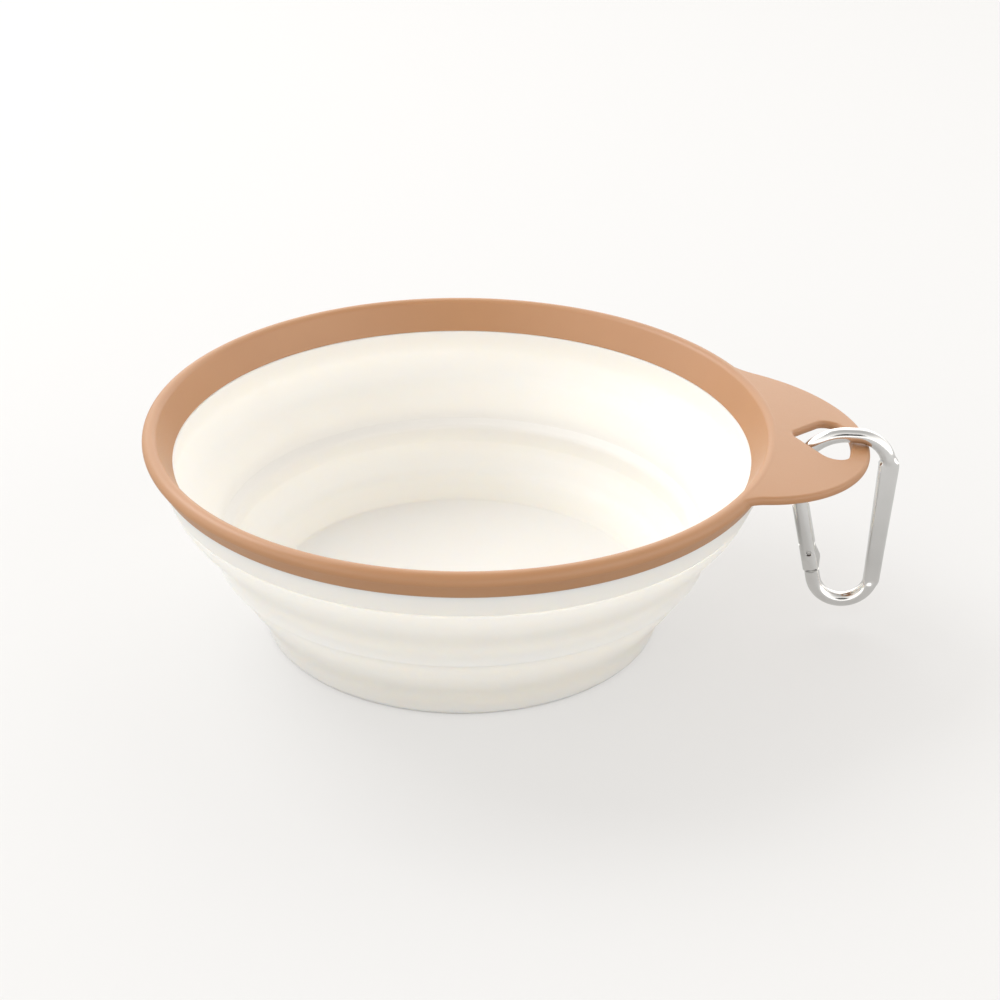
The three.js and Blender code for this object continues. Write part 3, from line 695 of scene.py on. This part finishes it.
def tab_outline(rim):
    """Outline of the tab, from one neck round the tip to the other, and back inside the lip."""
    centre = rim.radius + rim.tab_reach - rim.tab_radius
    reach = rim.radius - rim.tab_round + rim.neck
    neck_x = (reach ** 2 - (rim.tab_radius + rim.neck) ** 2 + centre ** 2) / (2.0 * centre)
    neck_y = math.sqrt(reach ** 2 - neck_x ** 2)
    on_rim = math.atan2(neck_y, neck_x)
    on_tab = math.atan2(neck_y, neck_x - centre)
    root = rim.radius - rim.lip_round - rim.tab_round
    line = arc((centre, 0.0), rim.tab_radius, -on_tab, on_tab, TAB_STEPS)
    line += arc((neck_x, neck_y), rim.neck, on_tab + math.pi, on_rim + math.pi, NECK_STEPS)[1:]
    line += arc((0.0, 0.0), root, on_rim, -on_rim, ROOT_STEPS)
    line += arc((neck_x, -neck_y), rim.neck, math.pi - on_rim, math.pi - on_tab, NECK_STEPS)[:-1]
    return line


def hole_outline(rim):
    """Outline of the hole: a rounded triangle whose outer side follows the tab's edge."""
    centre = rim.radius + rim.tab_reach - rim.tab_radius
    outer = rim.tab_radius - rim.web
    corner_y = rim.hole_half_width - rim.hole_corner
    corner_turn = math.asin(corner_y / (outer - rim.hole_corner))
    corner_x = centre + (outer - rim.hole_corner) * math.cos(corner_turn)
    apex_x = centre + outer - rim.hole_length + rim.hole_apex
    side = Vector((corner_x - apex_x, corner_y))
    normal = math.atan2(side.y, side.x) + math.acos((rim.hole_apex - rim.hole_corner) / side.length)
    full = 2.0 * math.pi
    line = arc((centre, 0.0), outer, -corner_turn, corner_turn, HOLE_SIDE_STEPS)[:-1]
    line += arc((corner_x, corner_y), rim.hole_corner, corner_turn, normal, HOLE_CORNER_STEPS)
    line += arc((apex_x, 0.0), rim.hole_apex, normal, full - normal, HOLE_APEX_STEPS)
    back = arc((corner_x, -corner_y), rim.hole_corner, full - normal, full - corner_turn,
               HOLE_CORNER_STEPS)
    return line + back[:-1]


def tab_height(rim, radius):
    """Height of the tab's middle at a distance from the axis."""
    root = rim.height - rim.tab_drop - rim.tab_thickness / 2.0
    return root - rim.tab_slope * (radius - rim.radius + rim.lip_round)


def tab_plate(rim):
    """The drooping plate of the tab with its hole and rounded edges."""
    curve = bpy.data.curves.new("tab", "CURVE")
    curve.dimensions = "2D"
    curve.fill_mode = "BOTH"
    for outline in (tab_outline(rim), hole_outline(rim)):
        spline = curve.splines.new("POLY")
        spline.points.add(len(outline) - 1)
        for point, (x, y) in zip(spline.points, outline):
            point.co = (x, y, 0.0, 1.0)
        spline.use_cyclic_u = True
    curve.extrude = rim.tab_thickness / 2.0 - rim.tab_round
    curve.bevel_depth = rim.tab_round
    curve.bevel_resolution = TAB_EDGE_STEPS
    curve.offset = -rim.tab_round
    holder = new_piece("tab_curve", curve)
    graph = bpy.context.evaluated_depsgraph_get()
    settled = bpy.data.meshes.new_from_object(holder.evaluated_get(graph))
    bpy.data.objects.remove(holder)
    plate = new_piece("tab_plate", settled)
    work = bmesh.new()
    work.from_mesh(settled)
    bmesh.ops.remove_doubles(work, verts=work.verts, dist=TAB_WELD)
    for vertex in work.verts:
        vertex.co.z += tab_height(rim, math.hypot(vertex.co.x, vertex.co.y))
    bmesh.ops.recalc_face_normals(work, faces=work.faces)
    work.to_mesh(settled)
    work.free()
    return plate


class BOWL_OT_rim(bpy.types.Operator):
    """Hard rim with its hanging tab"""
    bl_idname = "bowl.rim"
    bl_label = "Rim and tab"

    def execute(self, context):
        rim = context.scene.bowl_rim
        piece = turned("rim", rim_profile(rim), rim.steps, rim_plastic(context))
        plate = tab_plate(rim)
        plate.data.materials.append(rim_plastic(context))
        cut_or_join(piece, plate, "UNION")
        weld(piece, RIM_WELD)
        shade(piece, RIM_CREASE)
        even_normals(piece)
        dress(piece, "rim", "rim_plastic", "rim_frame")
        return {"FINISHED"}


# Soft wall: small roundings and clearances of its section, and the light near its hidden seam

EDGE = 0.15 * MM
SLIVER = 0.05 * MM
SKIN = 0.2 * MM
WALL_CREASE = 40.0
THIN_BELOW = 0.6 * MM
THIN_ABOVE = 0.9 * MM
FOOT_ROUND = 0.35 * MM
FOOT_CLEAR = 0.8 * MM
GROOVE_DROP = 0.35 * MM
GROOVE_CLEAR = 0.9 * MM
COLLAR_CLEAR = 0.6 * MM
TOE_CLEAR = 0.5 * MM
BASE_CLEAR = 1.2
FLOOR_CLEAR = 1.6 * MM
RIDGE_ROOT_IN = 0.9 * MM
RIDGE_ROOT_UP = 0.6 * MM
RIDGE_ROUND = 1.6 * MM
RIDGE_DROP = 2.0 * MM
RIDGE_FOOT_ROUND = 1.2 * MM
RIDGE_CLEAR = 3.6 * MM
SEAM_QUIET = 0.9 * MM
SEAM_FADE = 1.7 * MM
SEAM_DEPTH = 0.6 * MM


class WallForm:
    """Radii of the wall's steps at any height."""

    def __init__(self, rim, wall):
        self.wall = wall
        self.mouth = rim.radius - rim.mouth_inset
        self.mouth_z = rim.height - rim.mouth_depth
        self.skirt = rim.radius - rim.skirt_inset
        self.skirt_z = rim.height - rim.skirt_depth
        self.collar_foot = self.skirt - wall.collar_taper
        self.collar_z = self.mouth_z - wall.collar_height
        self.upper_top = self.collar_foot - wall.upper_inset
        self.upper_foot = self.upper_top - wall.upper_taper
        self.ring_top_z = wall.lower_step + wall.upper_ring
        self.toe = self.upper_foot - wall.toe_reach
        self.seam_z = wall.lower_step + wall.ridge_root
        self.lower_top = self.upper_foot - wall.lower_inset
        self.base = self.lower_top - wall.lower_taper

    def upper(self, z):
        """Outer radius of the upper step: upright at its foot, then an S-shaped flare."""
        start = self.wall.lower_step + self.wall.upper_band
        return blend_value(self.upper_foot, self.upper_top, ease((z - start) / (self.collar_z - start)))

    def lower(self, z):
        """Outer radius of the lower step: upright at its foot, then an S-shaped flare."""
        start = self.wall.lower_band
        return blend_value(self.base, self.lower_top, ease((z - start) / (self.wall.lower_step - start)))

    def face(self, radius_at, start, end, inset):
        """Points up or down one face of a step; an inset may change on the way."""
        steps = self.wall.band_steps
        line = []
        for k in range(steps + 1):
            z = blend_value(start, end, k / steps)
            line.append((radius_at(z) - (inset(z) if callable(inset) else inset), z, 0.0))
        return line

    def thinning(self, ring_top):
        """The wall's thickness at any height: a step's up to its top, then a folding band's."""
        def at(z):
            t = (z - ring_top + THIN_BELOW) / (THIN_BELOW + THIN_ABOVE)
            return blend_value(self.wall.ring_wall, self.wall.fold_wall, ease(t))
        return at

    def upper_profile(self):
        """Section from the toe of the upper step to the top of the collar."""
        wall = self.wall
        foot = wall.lower_step
        toe_top = foot + wall.toe_height
        groove_z = self.collar_z - GROOVE_DROP
        groove_edge = self.upper(groove_z)
        corners = [(self.toe, foot, EDGE), (self.upper_foot, foot, FOOT_ROUND)]
        corners += self.face(self.upper, foot + FOOT_CLEAR, groove_z - GROOVE_CLEAR, 0.0)
        corners += [(groove_edge, groove_z - 2.0 * EDGE, 2.0 * EDGE),
                    (groove_edge - wall.groove, groove_z, EDGE),
                    (self.collar_foot, self.collar_z + 2.0 * SLIVER, wall.collar_round),
                    (self.skirt - SLIVER, self.skirt_z + EDGE, 0.0),
                    (self.mouth + SLIVER, self.mouth_z + EDGE, 0.0),
                    (self.mouth - SLIVER, self.mouth_z - 4.0 * SLIVER, EDGE)]
        corners += self.face(self.upper, self.collar_z - COLLAR_CLEAR, toe_top + TOE_CLEAR,
                             self.thinning(self.ring_top_z))
        corners += [(self.upper(toe_top) - wall.ring_wall, toe_top, 4.0 * SLIVER),
                    (self.toe, toe_top - 2.0 * SLIVER, 2.0 * EDGE)]
        return rounded(corners)

    def lower_profile(self):
        """Section of the lower step with its floor, from the axis underneath to the axis inside."""
        wall = self.wall
        high = wall.lower_step + SKIN
        inner_foot = self.lower(wall.floor) - wall.ring_wall
        ridge = self.upper_foot - wall.ridge_reach
        root = self.seam_z
        corners = [(self.base, 0.0, wall.base_round)]
        corners += self.face(self.lower, BASE_CLEAR * wall.base_round, high, 0.0)
        corners += self.face(self.upper, high + 2.0 * SLIVER, root + 2.0 * SKIN, SKIN)
        corners += [(self.upper(root) - wall.ring_wall + RIDGE_ROOT_IN, root + RIDGE_ROOT_UP, 0.0),
                    (ridge, wall.lower_step + wall.ridge_height, RIDGE_ROUND),
                    (ridge, wall.lower_step - RIDGE_DROP, RIDGE_FOOT_ROUND)]
        corners += self.face(self.lower, wall.lower_step - RIDGE_CLEAR, wall.floor + FLOOR_CLEAR,
                             self.thinning(wall.lower_ring))
        corners += [(inner_foot, wall.floor, wall.floor_fillet), (0.0, wall.floor, 0.0), (0.0, 0.0, 0.0)]
        line = rounded(corners)
        return [line[-1]] + line[:-1]

    def mark_scatter(self, piece, scatter):
        """Marks how much light goes in: less near the seam over the ridge, where the pieces meet."""
        shares = []
        for vertex in piece.data.vertices:
            depth = self.upper(vertex.co.z) - vertex.co.xy.length
            away = ease((abs(vertex.co.z - self.seam_z) - SEAM_QUIET) / SEAM_FADE)
            outside = ease((SEAM_QUIET - depth) / SEAM_DEPTH)
            shares.append(scatter * max(away, outside))
        piece.data.attributes.new(SCATTER_SHARE, "FLOAT", "POINT").data.foreach_set("value", shares)


class BOWL_OT_wall(bpy.types.Operator):
    """Soft wall in two pieces, each thinner where the real wall turns inside out"""
    bl_idname = "bowl.wall"
    bl_label = "Soft wall"

    def execute(self, context):
        rim = context.scene.bowl_rim
        form = WallForm(rim, context.scene.bowl_wall)
        wall = form.wall
        finish = soft_wall(context)
        scatter = context.scene.bowl_finishes.scatter
        halves = (
            ("upper_wall", form.upper_profile(), "rim", "upper_step", form.collar_z, form.ring_top_z,
             ("wall_collar", "upper_fold", "upper_ring")),
            ("lower_wall", form.lower_profile(), "upper_step", "base", wall.lower_step, wall.lower_ring,
             ("lower_fold", "lower_ring", "base_floor")),
        )
        for name, profile, above, below, high, low, nodes in halves:
            piece = turned(name, profile, rim.steps, finish)
            shade(piece, WALL_CREASE)
            form.mark_scatter(piece, scatter)
            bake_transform(piece)
            stand_in(piece, "soft_wall", *nodes)
        return {"FINISHED"}


# Carabiner: small sizes and step counts of its pieces

PIN_SET_IN = 0.05 * MM
PIN_DOME = 0.12 * MM
DOME_STEPS = (0.4, 0.7, 0.9, 1.0)
PIN_SIDES = 40
GATE_EDGE = 0.25 * MM
HOLE_REACH = 4.0 * MM
METAL_CREASE = 30.0
BAR_SIDES = 64
STUB_STEPS = 2
BOTTOM_STEPS = 60
SPINE_STEPS = 40
OUTER_STEPS = 44
TOP_STEPS = 4
NOSE_STEPS = 30
CAM_STEPS = 32
NOTCH_STEPS = 20
TINY = 1e-6
TIP_POINTS = ((0.25 * MM, 0.02 * MM), (0.4 * MM, 0.1 * MM))
TIP_HEIGHT = 0.5 * MM
PLUNGER_CHAMFER = 0.1 * MM


class Loop:
    """Places round the carabiner's loop, in the X-Z plane about its pivot on the tab."""

    def __init__(self, sizes, tab_thickness):
        self.sizes = sizes
        self.bar = sizes.bar / 2.0
        self.top = tab_thickness / 2.0 + sizes.pivot_gap + self.bar
        self.outer = Vector((sizes.reach - sizes.outer_bend, self.top - sizes.outer_bend))
        spine_out = Vector((math.cos(sizes.spine_lean), -math.sin(sizes.spine_lean)))
        bottom_z = sizes.bottom_bend - sizes.depth
        offset = spine_out.dot(self.outer) + sizes.outer_bend - sizes.bottom_bend
        self.bottom = Vector(((offset - spine_out.y * bottom_z) / spine_out.x, bottom_z))
        self.spine_foot = self.bottom + spine_out * sizes.bottom_bend
        self.spine_head = self.outer + spine_out * sizes.outer_bend
        self.along = Vector((-math.sin(sizes.lean), math.cos(sizes.lean)))
        self.out = Vector((-math.cos(sizes.lean), -math.sin(sizes.lean)))
        self.rivet = self.bottom + self.out * sizes.bottom_bend + self.along * sizes.rivet_from_bend
        nose_z = self.top - sizes.nose_bend
        nose_x = (sizes.nose_bend + self.out.y * (nose_z - self.rivet.y)) / -self.out.x
        self.nose = Vector((self.rivet.x + nose_x, nose_z))
        nose_start = self.nose + self.out * sizes.nose_bend
        self.hinge_shoulder = sizes.hinge_stub - sizes.rivet_from_bend
        self.nose_shoulder = (nose_start - self.rivet).length - sizes.nose_stub
        self.gate_low = self.hinge_shoulder + sizes.shoulder_gap
        self.gate_high = self.nose_shoulder - sizes.shoulder_gap
        self.latch = self.gate_high - sizes.latch_from_end
        self.in_gate = Matrix.Translation(RIVET) @ Matrix.Rotation(-sizes.lean, 4, "Y")
        self.in_loop = Matrix.Translation(PIVOT)

    def stations(self):
        """Points and directions along the bar, with how flat the bar is pressed at each."""
        sizes = self.sizes
        turn = math.pi + sizes.lean
        rows = []

        def straight(start, end, steps):
            for k in range(steps):
                rows.append((start.lerp(end, k / steps), (end - start).normalized()))

        def bend(centre, radius, start, end, steps):
            for k in range(steps):
                angle = start + (end - start) * k / steps
                spot = centre + Vector((math.cos(angle), math.sin(angle))) * radius
                rows.append((spot, Vector((-math.sin(angle), math.cos(angle)))))

        hinge_end = self.rivet + self.along * self.hinge_shoulder
        nose_end = self.rivet + self.along * self.nose_shoulder
        straight(hinge_end, self.bottom + self.out * sizes.bottom_bend, STUB_STEPS)
        bend(self.bottom, sizes.bottom_bend, turn, 2.0 * math.pi - sizes.spine_lean, BOTTOM_STEPS)
        straight(self.spine_foot, self.spine_head, SPINE_STEPS)
        bend(self.outer, sizes.outer_bend, -sizes.spine_lean, math.pi / 2.0, OUTER_STEPS)
        straight(Vector((self.outer.x, self.top)), Vector((self.nose.x, self.top)), TOP_STEPS)
        bend(self.nose, sizes.nose_bend, math.pi / 2.0, turn, NOSE_STEPS)
        rows.append((self.nose + self.out * sizes.nose_bend, -self.along))
        rows.append((nose_end, -self.along))
        marked = []
        for spot, along in rows:
            above = (spot.y - self.bottom.y + sizes.spine_overrun) / sizes.spine_blend
            below = (self.outer.y - spot.y + sizes.spine_overrun) / sizes.spine_blend
            flat = ease(min(above, below)) if spot.x > self.bottom.x else 0.0
            up = (spot.y - self.bottom.y) / (self.outer.y - self.bottom.y)
            width = blend_value(sizes.spine_foot, sizes.spine_head, up)
            marked.append((spot, along, flat, width))
        return marked

    def section(self, flat, width, sides):
        """Section of the bar: round, or pressed flat with chamfers along the spine."""
        sizes = self.sizes
        wide = width / 2.0
        thick = sizes.spine_thickness / 2.0
        ring = []
        for k in range(sides):
            angle = 2.0 * math.pi * k / sides
            c = abs(math.cos(angle))
            s = abs(math.sin(angle))
            pressed = (wide + thick - sizes.spine_chamfer) / (c + s)
            if c > TINY:
                pressed = min(pressed, wide / c)
            if s > TINY:
                pressed = min(pressed, thick / s)
            radius = blend_value(self.bar, pressed, flat)
            ring.append((radius * math.cos(angle), radius * math.sin(angle)))
        return ring


def loft(name, rings):
    """A closed skin through rings of points, capped at both ends."""
    work = bmesh.new()
    rows = [[work.verts.new(point) for point in ring] for ring in rings]
    count = len(rows[0])
    for first, second in zip(rows, rows[1:]):
        for k in range(count):
            n = (k + 1) % count
            work.faces.new((first[k], first[n], second[n], second[k]))
    work.faces.new(list(reversed(rows[0])))
    work.faces.new(rows[-1])
    bmesh.ops.recalc_face_normals(work, faces=work.faces)
    return worked_piece(name, work)


def plate(name, outline, thickness):
    """A flat plate in the X-Z plane, centred on Y = 0."""
    half = thickness / 2.0
    return loft(name, [[(x, y, z) for x, z in outline] for y in (-half, half)])


def rod(name, radius, low, high, axis="Z", sides=48):
    """A round rod along Z, or along Y at a height."""
    work = bmesh.new()
    bmesh.ops.create_cone(work, cap_ends=True, segments=sides, radius1=radius, radius2=radius,
                          depth=high - low)
    bmesh.ops.translate(work, verts=work.verts, vec=(0.0, 0.0, (low + high) / 2.0))
    if axis == "Y":
        bmesh.ops.rotate(work, verts=work.verts, matrix=Matrix.Rotation(math.pi / 2.0, 3, "X"))
    return worked_piece(name, work)


def block(name, low, high):
    """A box between two corners, for cutting."""
    work = bmesh.new()
    bmesh.ops.create_cube(work, size=1.0)
    for vertex in work.verts:
        vertex.co = Vector([blend_value(low[i], high[i], vertex.co[i] + 0.5) for i in range(3)])
    return worked_piece(name, work)


def soften(piece, width):
    """Breaks the sharp edges of a metal piece."""
    modifier = piece.modifiers.new("edge", "BEVEL")
    modifier.width = width
    modifier.segments = 2
    modifier.limit_method = "ANGLE"
    modifier.angle_limit = math.radians(EDGE_ANGLE)
    settle(piece)


def hinge_tang(loop):
    """Tang inside the gate's lower fork, with the cam that lifts the plunger."""
    sizes = loop.sizes
    side = sizes.gate / 2.0
    foot = loop.hinge_shoulder - sizes.tang_root
    outline = [(-loop.bar / 2.0, foot), (loop.bar / 2.0, foot), (loop.bar, loop.gate_low),
               (side + sizes.lug_reach, -sizes.lug_drop)]
    for k in range(CAM_STEPS + 1):
        turn = blend_value(2.0 * sizes.travel, -sizes.travel, k / CAM_STEPS)
        radius = sizes.cam + sizes.cam_rise * min(max(turn / sizes.travel, 0.0), 1.0)
        outline.append((radius * math.sin(turn), radius * math.cos(turn)))
    outline += [(-sizes.bore / 2.0, sizes.tang_shoulder), (-side, sizes.tang_shoulder),
                (-side, loop.gate_low)]
    return plate("tang", outline, sizes.tang)


def latch_hook(loop):
    """Hook of the nose round the latch pin, open to the inside."""
    sizes = loop.sizes
    half = sizes.hook_width / 2.0
    pin = sizes.latch_pin / 2.0
    notch = pin + sizes.gap
    lip = loop.latch - notch
    low = lip - sizes.latch_lip
    head = loop.nose_shoulder + sizes.tang_root
    outline = [(-half, head), (-half, low), (pin, low), (pin, lip)]
    outline += arc((0.0, loop.latch), notch, -math.pi / 2.0, -1.5 * math.pi, NOTCH_STEPS)
    outline += [(half, loop.latch + notch), (half, head)]
    return plate("hook", outline, sizes.tang)


def carabiner_body(loop):
    """The bent bar with its tang and hook."""
    rings = []
    for spot, along, flat, width in loop.stations():
        rings.append([(spot.x + across * along.y, y, spot.y - across * along.x)
                      for across, y in loop.section(flat, width, BAR_SIDES)])
    piece = loft("carabiner_bar", rings)
    piece.data.transform(loop.in_loop)
    for part in (hinge_tang(loop), latch_hook(loop)):
        part.data.transform(loop.in_gate)
        cut_or_join(piece, part, "UNION")
    hole = rod("hole", loop.sizes.rivet / 2.0 + loop.sizes.pin_gap, -HOLE_REACH, HOLE_REACH, "Y")
    hole.data.transform(loop.in_gate)
    cut_or_join(piece, hole, "DIFFERENCE")
    return piece


def gate_tube(loop):
    """The gate: a tube with a fork at each end, a bore and two cross holes."""
    sizes = loop.sizes
    radius = sizes.gate / 2.0
    piece = rod("carabiner_gate_tube", radius, loop.gate_low, loop.gate_high, sides=BAR_SIDES)
    soften(piece, GATE_EDGE)
    half = sizes.slot / 2.0
    far = 4.0 * radius
    slots = ((loop.gate_low - far, sizes.hinge_slot),
             (loop.gate_high - sizes.latch_slot, loop.gate_high + far))
    cutters = [*(block("slot", (-far, -half, low), (far, half, high)) for low, high in slots),
               rod("bore", sizes.bore / 2.0, 0.0, sizes.hinge_slot + sizes.bore_depth)]
    for size, z in ((sizes.rivet, 0.0), (sizes.latch_pin, loop.latch)):
        hole = rod("hole", size / 2.0 + sizes.pin_gap, -far, far, "Y")
        hole.data.transform(Matrix.Translation((0.0, 0.0, z)))
        cutters.append(hole)
    for cutter in cutters:
        cut_or_join(piece, cutter, "DIFFERENCE")
    piece.data.transform(loop.in_gate)
    return piece


def cross_pin(name, loop, diameter, z, finish):
    """A pin across the gate with softly domed ends."""
    half = loop.sizes.gate / 2.0 - PIN_SET_IN
    radius = diameter / 2.0
    profile = [(0.0, -half)]
    profile += [(radius * t, -half + PIN_DOME * t * t) for t in DOME_STEPS]
    profile += [(radius * t, half - PIN_DOME * t * t) for t in reversed(DOME_STEPS)]
    profile.append((0.0, half))
    pin = turned(name, profile, PIN_SIDES, finish)
    across = Matrix.Translation((0.0, 0.0, z)) @ Matrix.Rotation(math.pi / 2.0, 4, "X")
    pin.data.transform(loop.in_gate @ across)
    shade(pin)
    return pin


class BOWL_OT_carabiner(bpy.types.Operator):
    """Carabiner: bent bar, gate and the two pins"""
    bl_idname = "bowl.carabiner"
    bl_label = "Carabiner"

    def execute(self, context):
        sizes = context.scene.bowl_carabiner
        loop = Loop(sizes, context.scene.bowl_rim.tab_thickness)
        for piece, body, node in ((carabiner_body(loop), "carabiner", "carabiner_body"),
                                  (gate_tube(loop), "gate", "carabiner_gate")):
            piece.data.materials.clear()
            piece.data.materials.append(aluminium(context))
            shade(piece, METAL_CREASE)
            even_normals(piece)
            dress(piece, body, "aluminium", node)
        rivet = cross_pin("rivet_pin", loop, sizes.rivet, 0.0, steel(context))
        dress(rivet, "gate", "steel", "gate_rivet")
        latch = cross_pin("latch_cross_pin", loop, sizes.latch_pin, loop.latch, steel(context))
        dress(latch, "gate", "steel", "gate_latch_pin")
        return {"FINISHED"}


class BOWL_OT_gate_spring(bpy.types.Operator):
    """Plunger and coil spring inside the gate"""
    bl_idname = "bowl.gate_spring"
    bl_label = "Gate spring"

    def execute(self, context):
        sizes = context.scene.bowl_carabiner
        loop = Loop(sizes, context.scene.bowl_rim.tab_thickness)
        low = sizes.cam + sizes.gap
        high = low + sizes.plunger_length
        radius = sizes.plunger / 2.0
        profile = [(0.0, low), *((across, low + up) for across, up in TIP_POINTS),
                   (radius, low + TIP_HEIGHT), (radius, high - PLUNGER_CHAMFER),
                   (radius - PLUNGER_CHAMFER, high), (0.0, high)]
        plunger = turned("plunger_pin", profile, PIN_SIDES, steel(context))
        plunger.data.transform(loop.in_gate)
        shade(plunger)
        dress(plunger, "plunger", "steel", "gate_plunger")
        start = high + sizes.gap + sizes.wire / 2.0
        end = sizes.hinge_slot + sizes.bore_depth - sizes.gap - sizes.wire / 2.0
        coil = new_piece("coil_spring", bpy.data.meshes.new("coil_spring"))
        run_tree(coil, coil_tree(), turns=float(sizes.turns), radius=(sizes.spring - sizes.wire) / 2.0,
                 height=end - start, wire=sizes.wire / 2.0, low=start, finish=steel(context))
        coil.data.transform(loop.in_gate)
        shade(coil)
        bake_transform(coil)
        stand_in(coil, "steel", "gate_spring")
        return {"FINISHED"}


# Studio

FLOOR_HALF = 4.0
FLOOR_CELLS = 8
FLOOR_ROUGH = 0.9
FLOOR_GLOSS = 0.1
SENSOR = 36.0
NEAR_CLIP = 0.01


def pale_floor(studio):
    """Floor material: a plain pale matte surface that keeps the shadow."""
    material, shader = start_material("pale_floor")
    if shader is not None:
        shader.inputs["Base Color"].default_value = (*studio.floor, 1.0)
        shader.inputs["Roughness"].default_value = FLOOR_ROUGH
        shader.inputs["Specular IOR Level"].default_value = FLOOR_GLOSS
        shader.inputs["Emission Color"].default_value = (*studio.floor_glow, 1.0)
        tree = material.node_tree
        path = tree.nodes.new("ShaderNodeLightPath")
        bounce = ranged(tree, axis_distance(tree), studio.contact_inner, studio.contact_outer,
                        0.0, studio.floor_bounce, "SMOOTHSTEP")
        share = ranged(tree, path.outputs["Is Camera Ray"], 0.0, 1.0, bounce, 1.0)
        link(tree, share, 0, shader, "Emission Strength")
    return material


def key_lamp(studio):
    """A big square soft lamp aimed at the bowl."""
    lamp = bpy.data.lights.new("key", "AREA")
    lamp.size = studio.key_size
    lamp.energy = studio.key_power
    lamp.color = studio.key_tint
    holder = bpy.data.objects.new("key", lamp)
    bpy.context.scene.collection.objects.link(holder)
    holder.location = studio.key_place
    way = Vector(studio.key_target) - Vector(studio.key_place)
    holder.rotation_euler = way.to_track_quat("-Z", "Y").to_euler()


def sky_spot(tree, way, towards, inner, outer, outside, inside):
    """A round soft-edged spot of another level in the sky."""
    aim = add_node(tree, "ShaderNodeVectorMath", {0: way, 1: Vector(towards).normalized()},
                   operation="DOT_PRODUCT")
    return ranged(tree, aim.outputs["Value"], math.cos(outer), math.cos(inner), outside, inside,
                  "SMOOTHSTEP")


def soft_room(studio):
    """Soft light from all round, with a window behind and dark only where the camera stands."""
    world = bpy.data.worlds.new("soft_room")
    world.use_nodes = True
    tree = world.node_tree
    sky = tree.nodes["Background"]
    sky.inputs["Color"].default_value = (*studio.sky, 1.0)
    way = tree.nodes.new("ShaderNodeTexCoord").outputs["Generated"]
    dim = sky_spot(tree, way, Vector(studio.eye) - Vector(studio.target),
                   studio.dark_inner, studio.dark_outer, 1.0, studio.dark_level)
    split = add_node(tree, "ShaderNodeSeparateXYZ", {0: way})
    light = ranged(tree, split.outputs["Z"], 0.0, 1.0, studio.sky_level, studio.sky_top)
    right = Vector(studio.side_way)
    left = Vector((-right.x, right.y, right.z))
    for towards, inner, outer, strength in (
            (studio.window_way, studio.window_inner, studio.window_outer, studio.window),
            (studio.fill_way, studio.fill_inner, studio.fill_outer, studio.fill),
            (left, studio.side_inner, studio.side_outer, studio.side),
            (right, studio.side_inner, studio.side_outer, studio.side)):
        light = math_node(tree, "ADD", light, sky_spot(tree, way, towards, inner, outer, 0.0, strength))
    link(tree, math_node(tree, "MULTIPLY", dim, light), 0, sky, "Strength")
    return world


class BOWL_OT_studio(bpy.types.Operator):
    """Floor, light and camera"""
    bl_idname = "bowl.studio"
    bl_label = "Studio"

    def execute(self, context):
        scene = context.scene
        studio = scene.bowl_studio
        work = bmesh.new()
        bmesh.ops.create_grid(work, x_segments=FLOOR_CELLS, y_segments=FLOOR_CELLS, size=FLOOR_HALF)
        floor = worked_piece("floor", work)
        floor.data.materials.append(pale_floor(studio))

        scene.world = soft_room(studio)
        key_lamp(studio)

        camera = bpy.data.cameras.new("camera")
        camera.lens = studio.lens
        camera.sensor_width = SENSOR
        camera.clip_start = NEAR_CLIP
        holder = bpy.data.objects.new("camera", camera)
        scene.collection.objects.link(holder)
        eye = Vector(studio.eye)
        aim = (Vector(studio.target) - eye).to_track_quat("-Z", "Y").to_matrix().to_4x4()
        holder.matrix_world = Matrix.Translation(eye) @ aim @ Matrix.Rotation(studio.roll, 4, "Z")
        scene.camera = holder
        scene.view_settings.view_transform = "Standard"
        return {"FINISHED"}


class BOWL_PT_panel(bpy.types.Panel):
    """Lists the bowl's pieces and their sizes"""
    bl_idname = "BOWL_PT_panel"
    bl_label = "Folding bowl"
    bl_space_type = "VIEW_3D"
    bl_region_type = "UI"
    bl_category = "Bowl"

    def draw(self, context):
        for operator in OPERATORS:
            self.layout.operator(operator.bl_idname)
        for key, group in SETTINGS.items():
            box = self.layout.box()
            for name in group.__annotations__:
                box.prop(getattr(context.scene, key), name)


SETTINGS = {
    "bowl_rim": RimSizes,
    "bowl_wall": WallSizes,
    "bowl_carabiner": CarabinerSizes,
    "bowl_finishes": Finishes,
    "bowl_studio": Studio,
}
OPERATORS = (BOWL_OT_studio, BOWL_OT_rim, BOWL_OT_wall, BOWL_OT_carabiner, BOWL_OT_gate_spring)
CLASSES = (*SETTINGS.values(), *OPERATORS, BOWL_PT_panel)


def register():
    """Registers the classes and hangs the settings on the scene."""
    for item in CLASSES:
        bpy.utils.register_class(item)
    for key, group in SETTINGS.items():
        setattr(bpy.types.Scene, key, PointerProperty(type=group))


def unregister():
    """Takes the settings and the classes away again."""
    for key in SETTINGS:
        delattr(bpy.types.Scene, key)
    for item in reversed(CLASSES):
        bpy.utils.unregister_class(item)


def main():
    """Builds every piece in order."""
    register()
    bpy.ops.bowl.studio()
    bpy.ops.bowl.rim()
    bpy.ops.bowl.wall()
    bpy.ops.bowl.carabiner()
    bpy.ops.bowl.gate_spring()


if __name__ == "__main__":
    main()
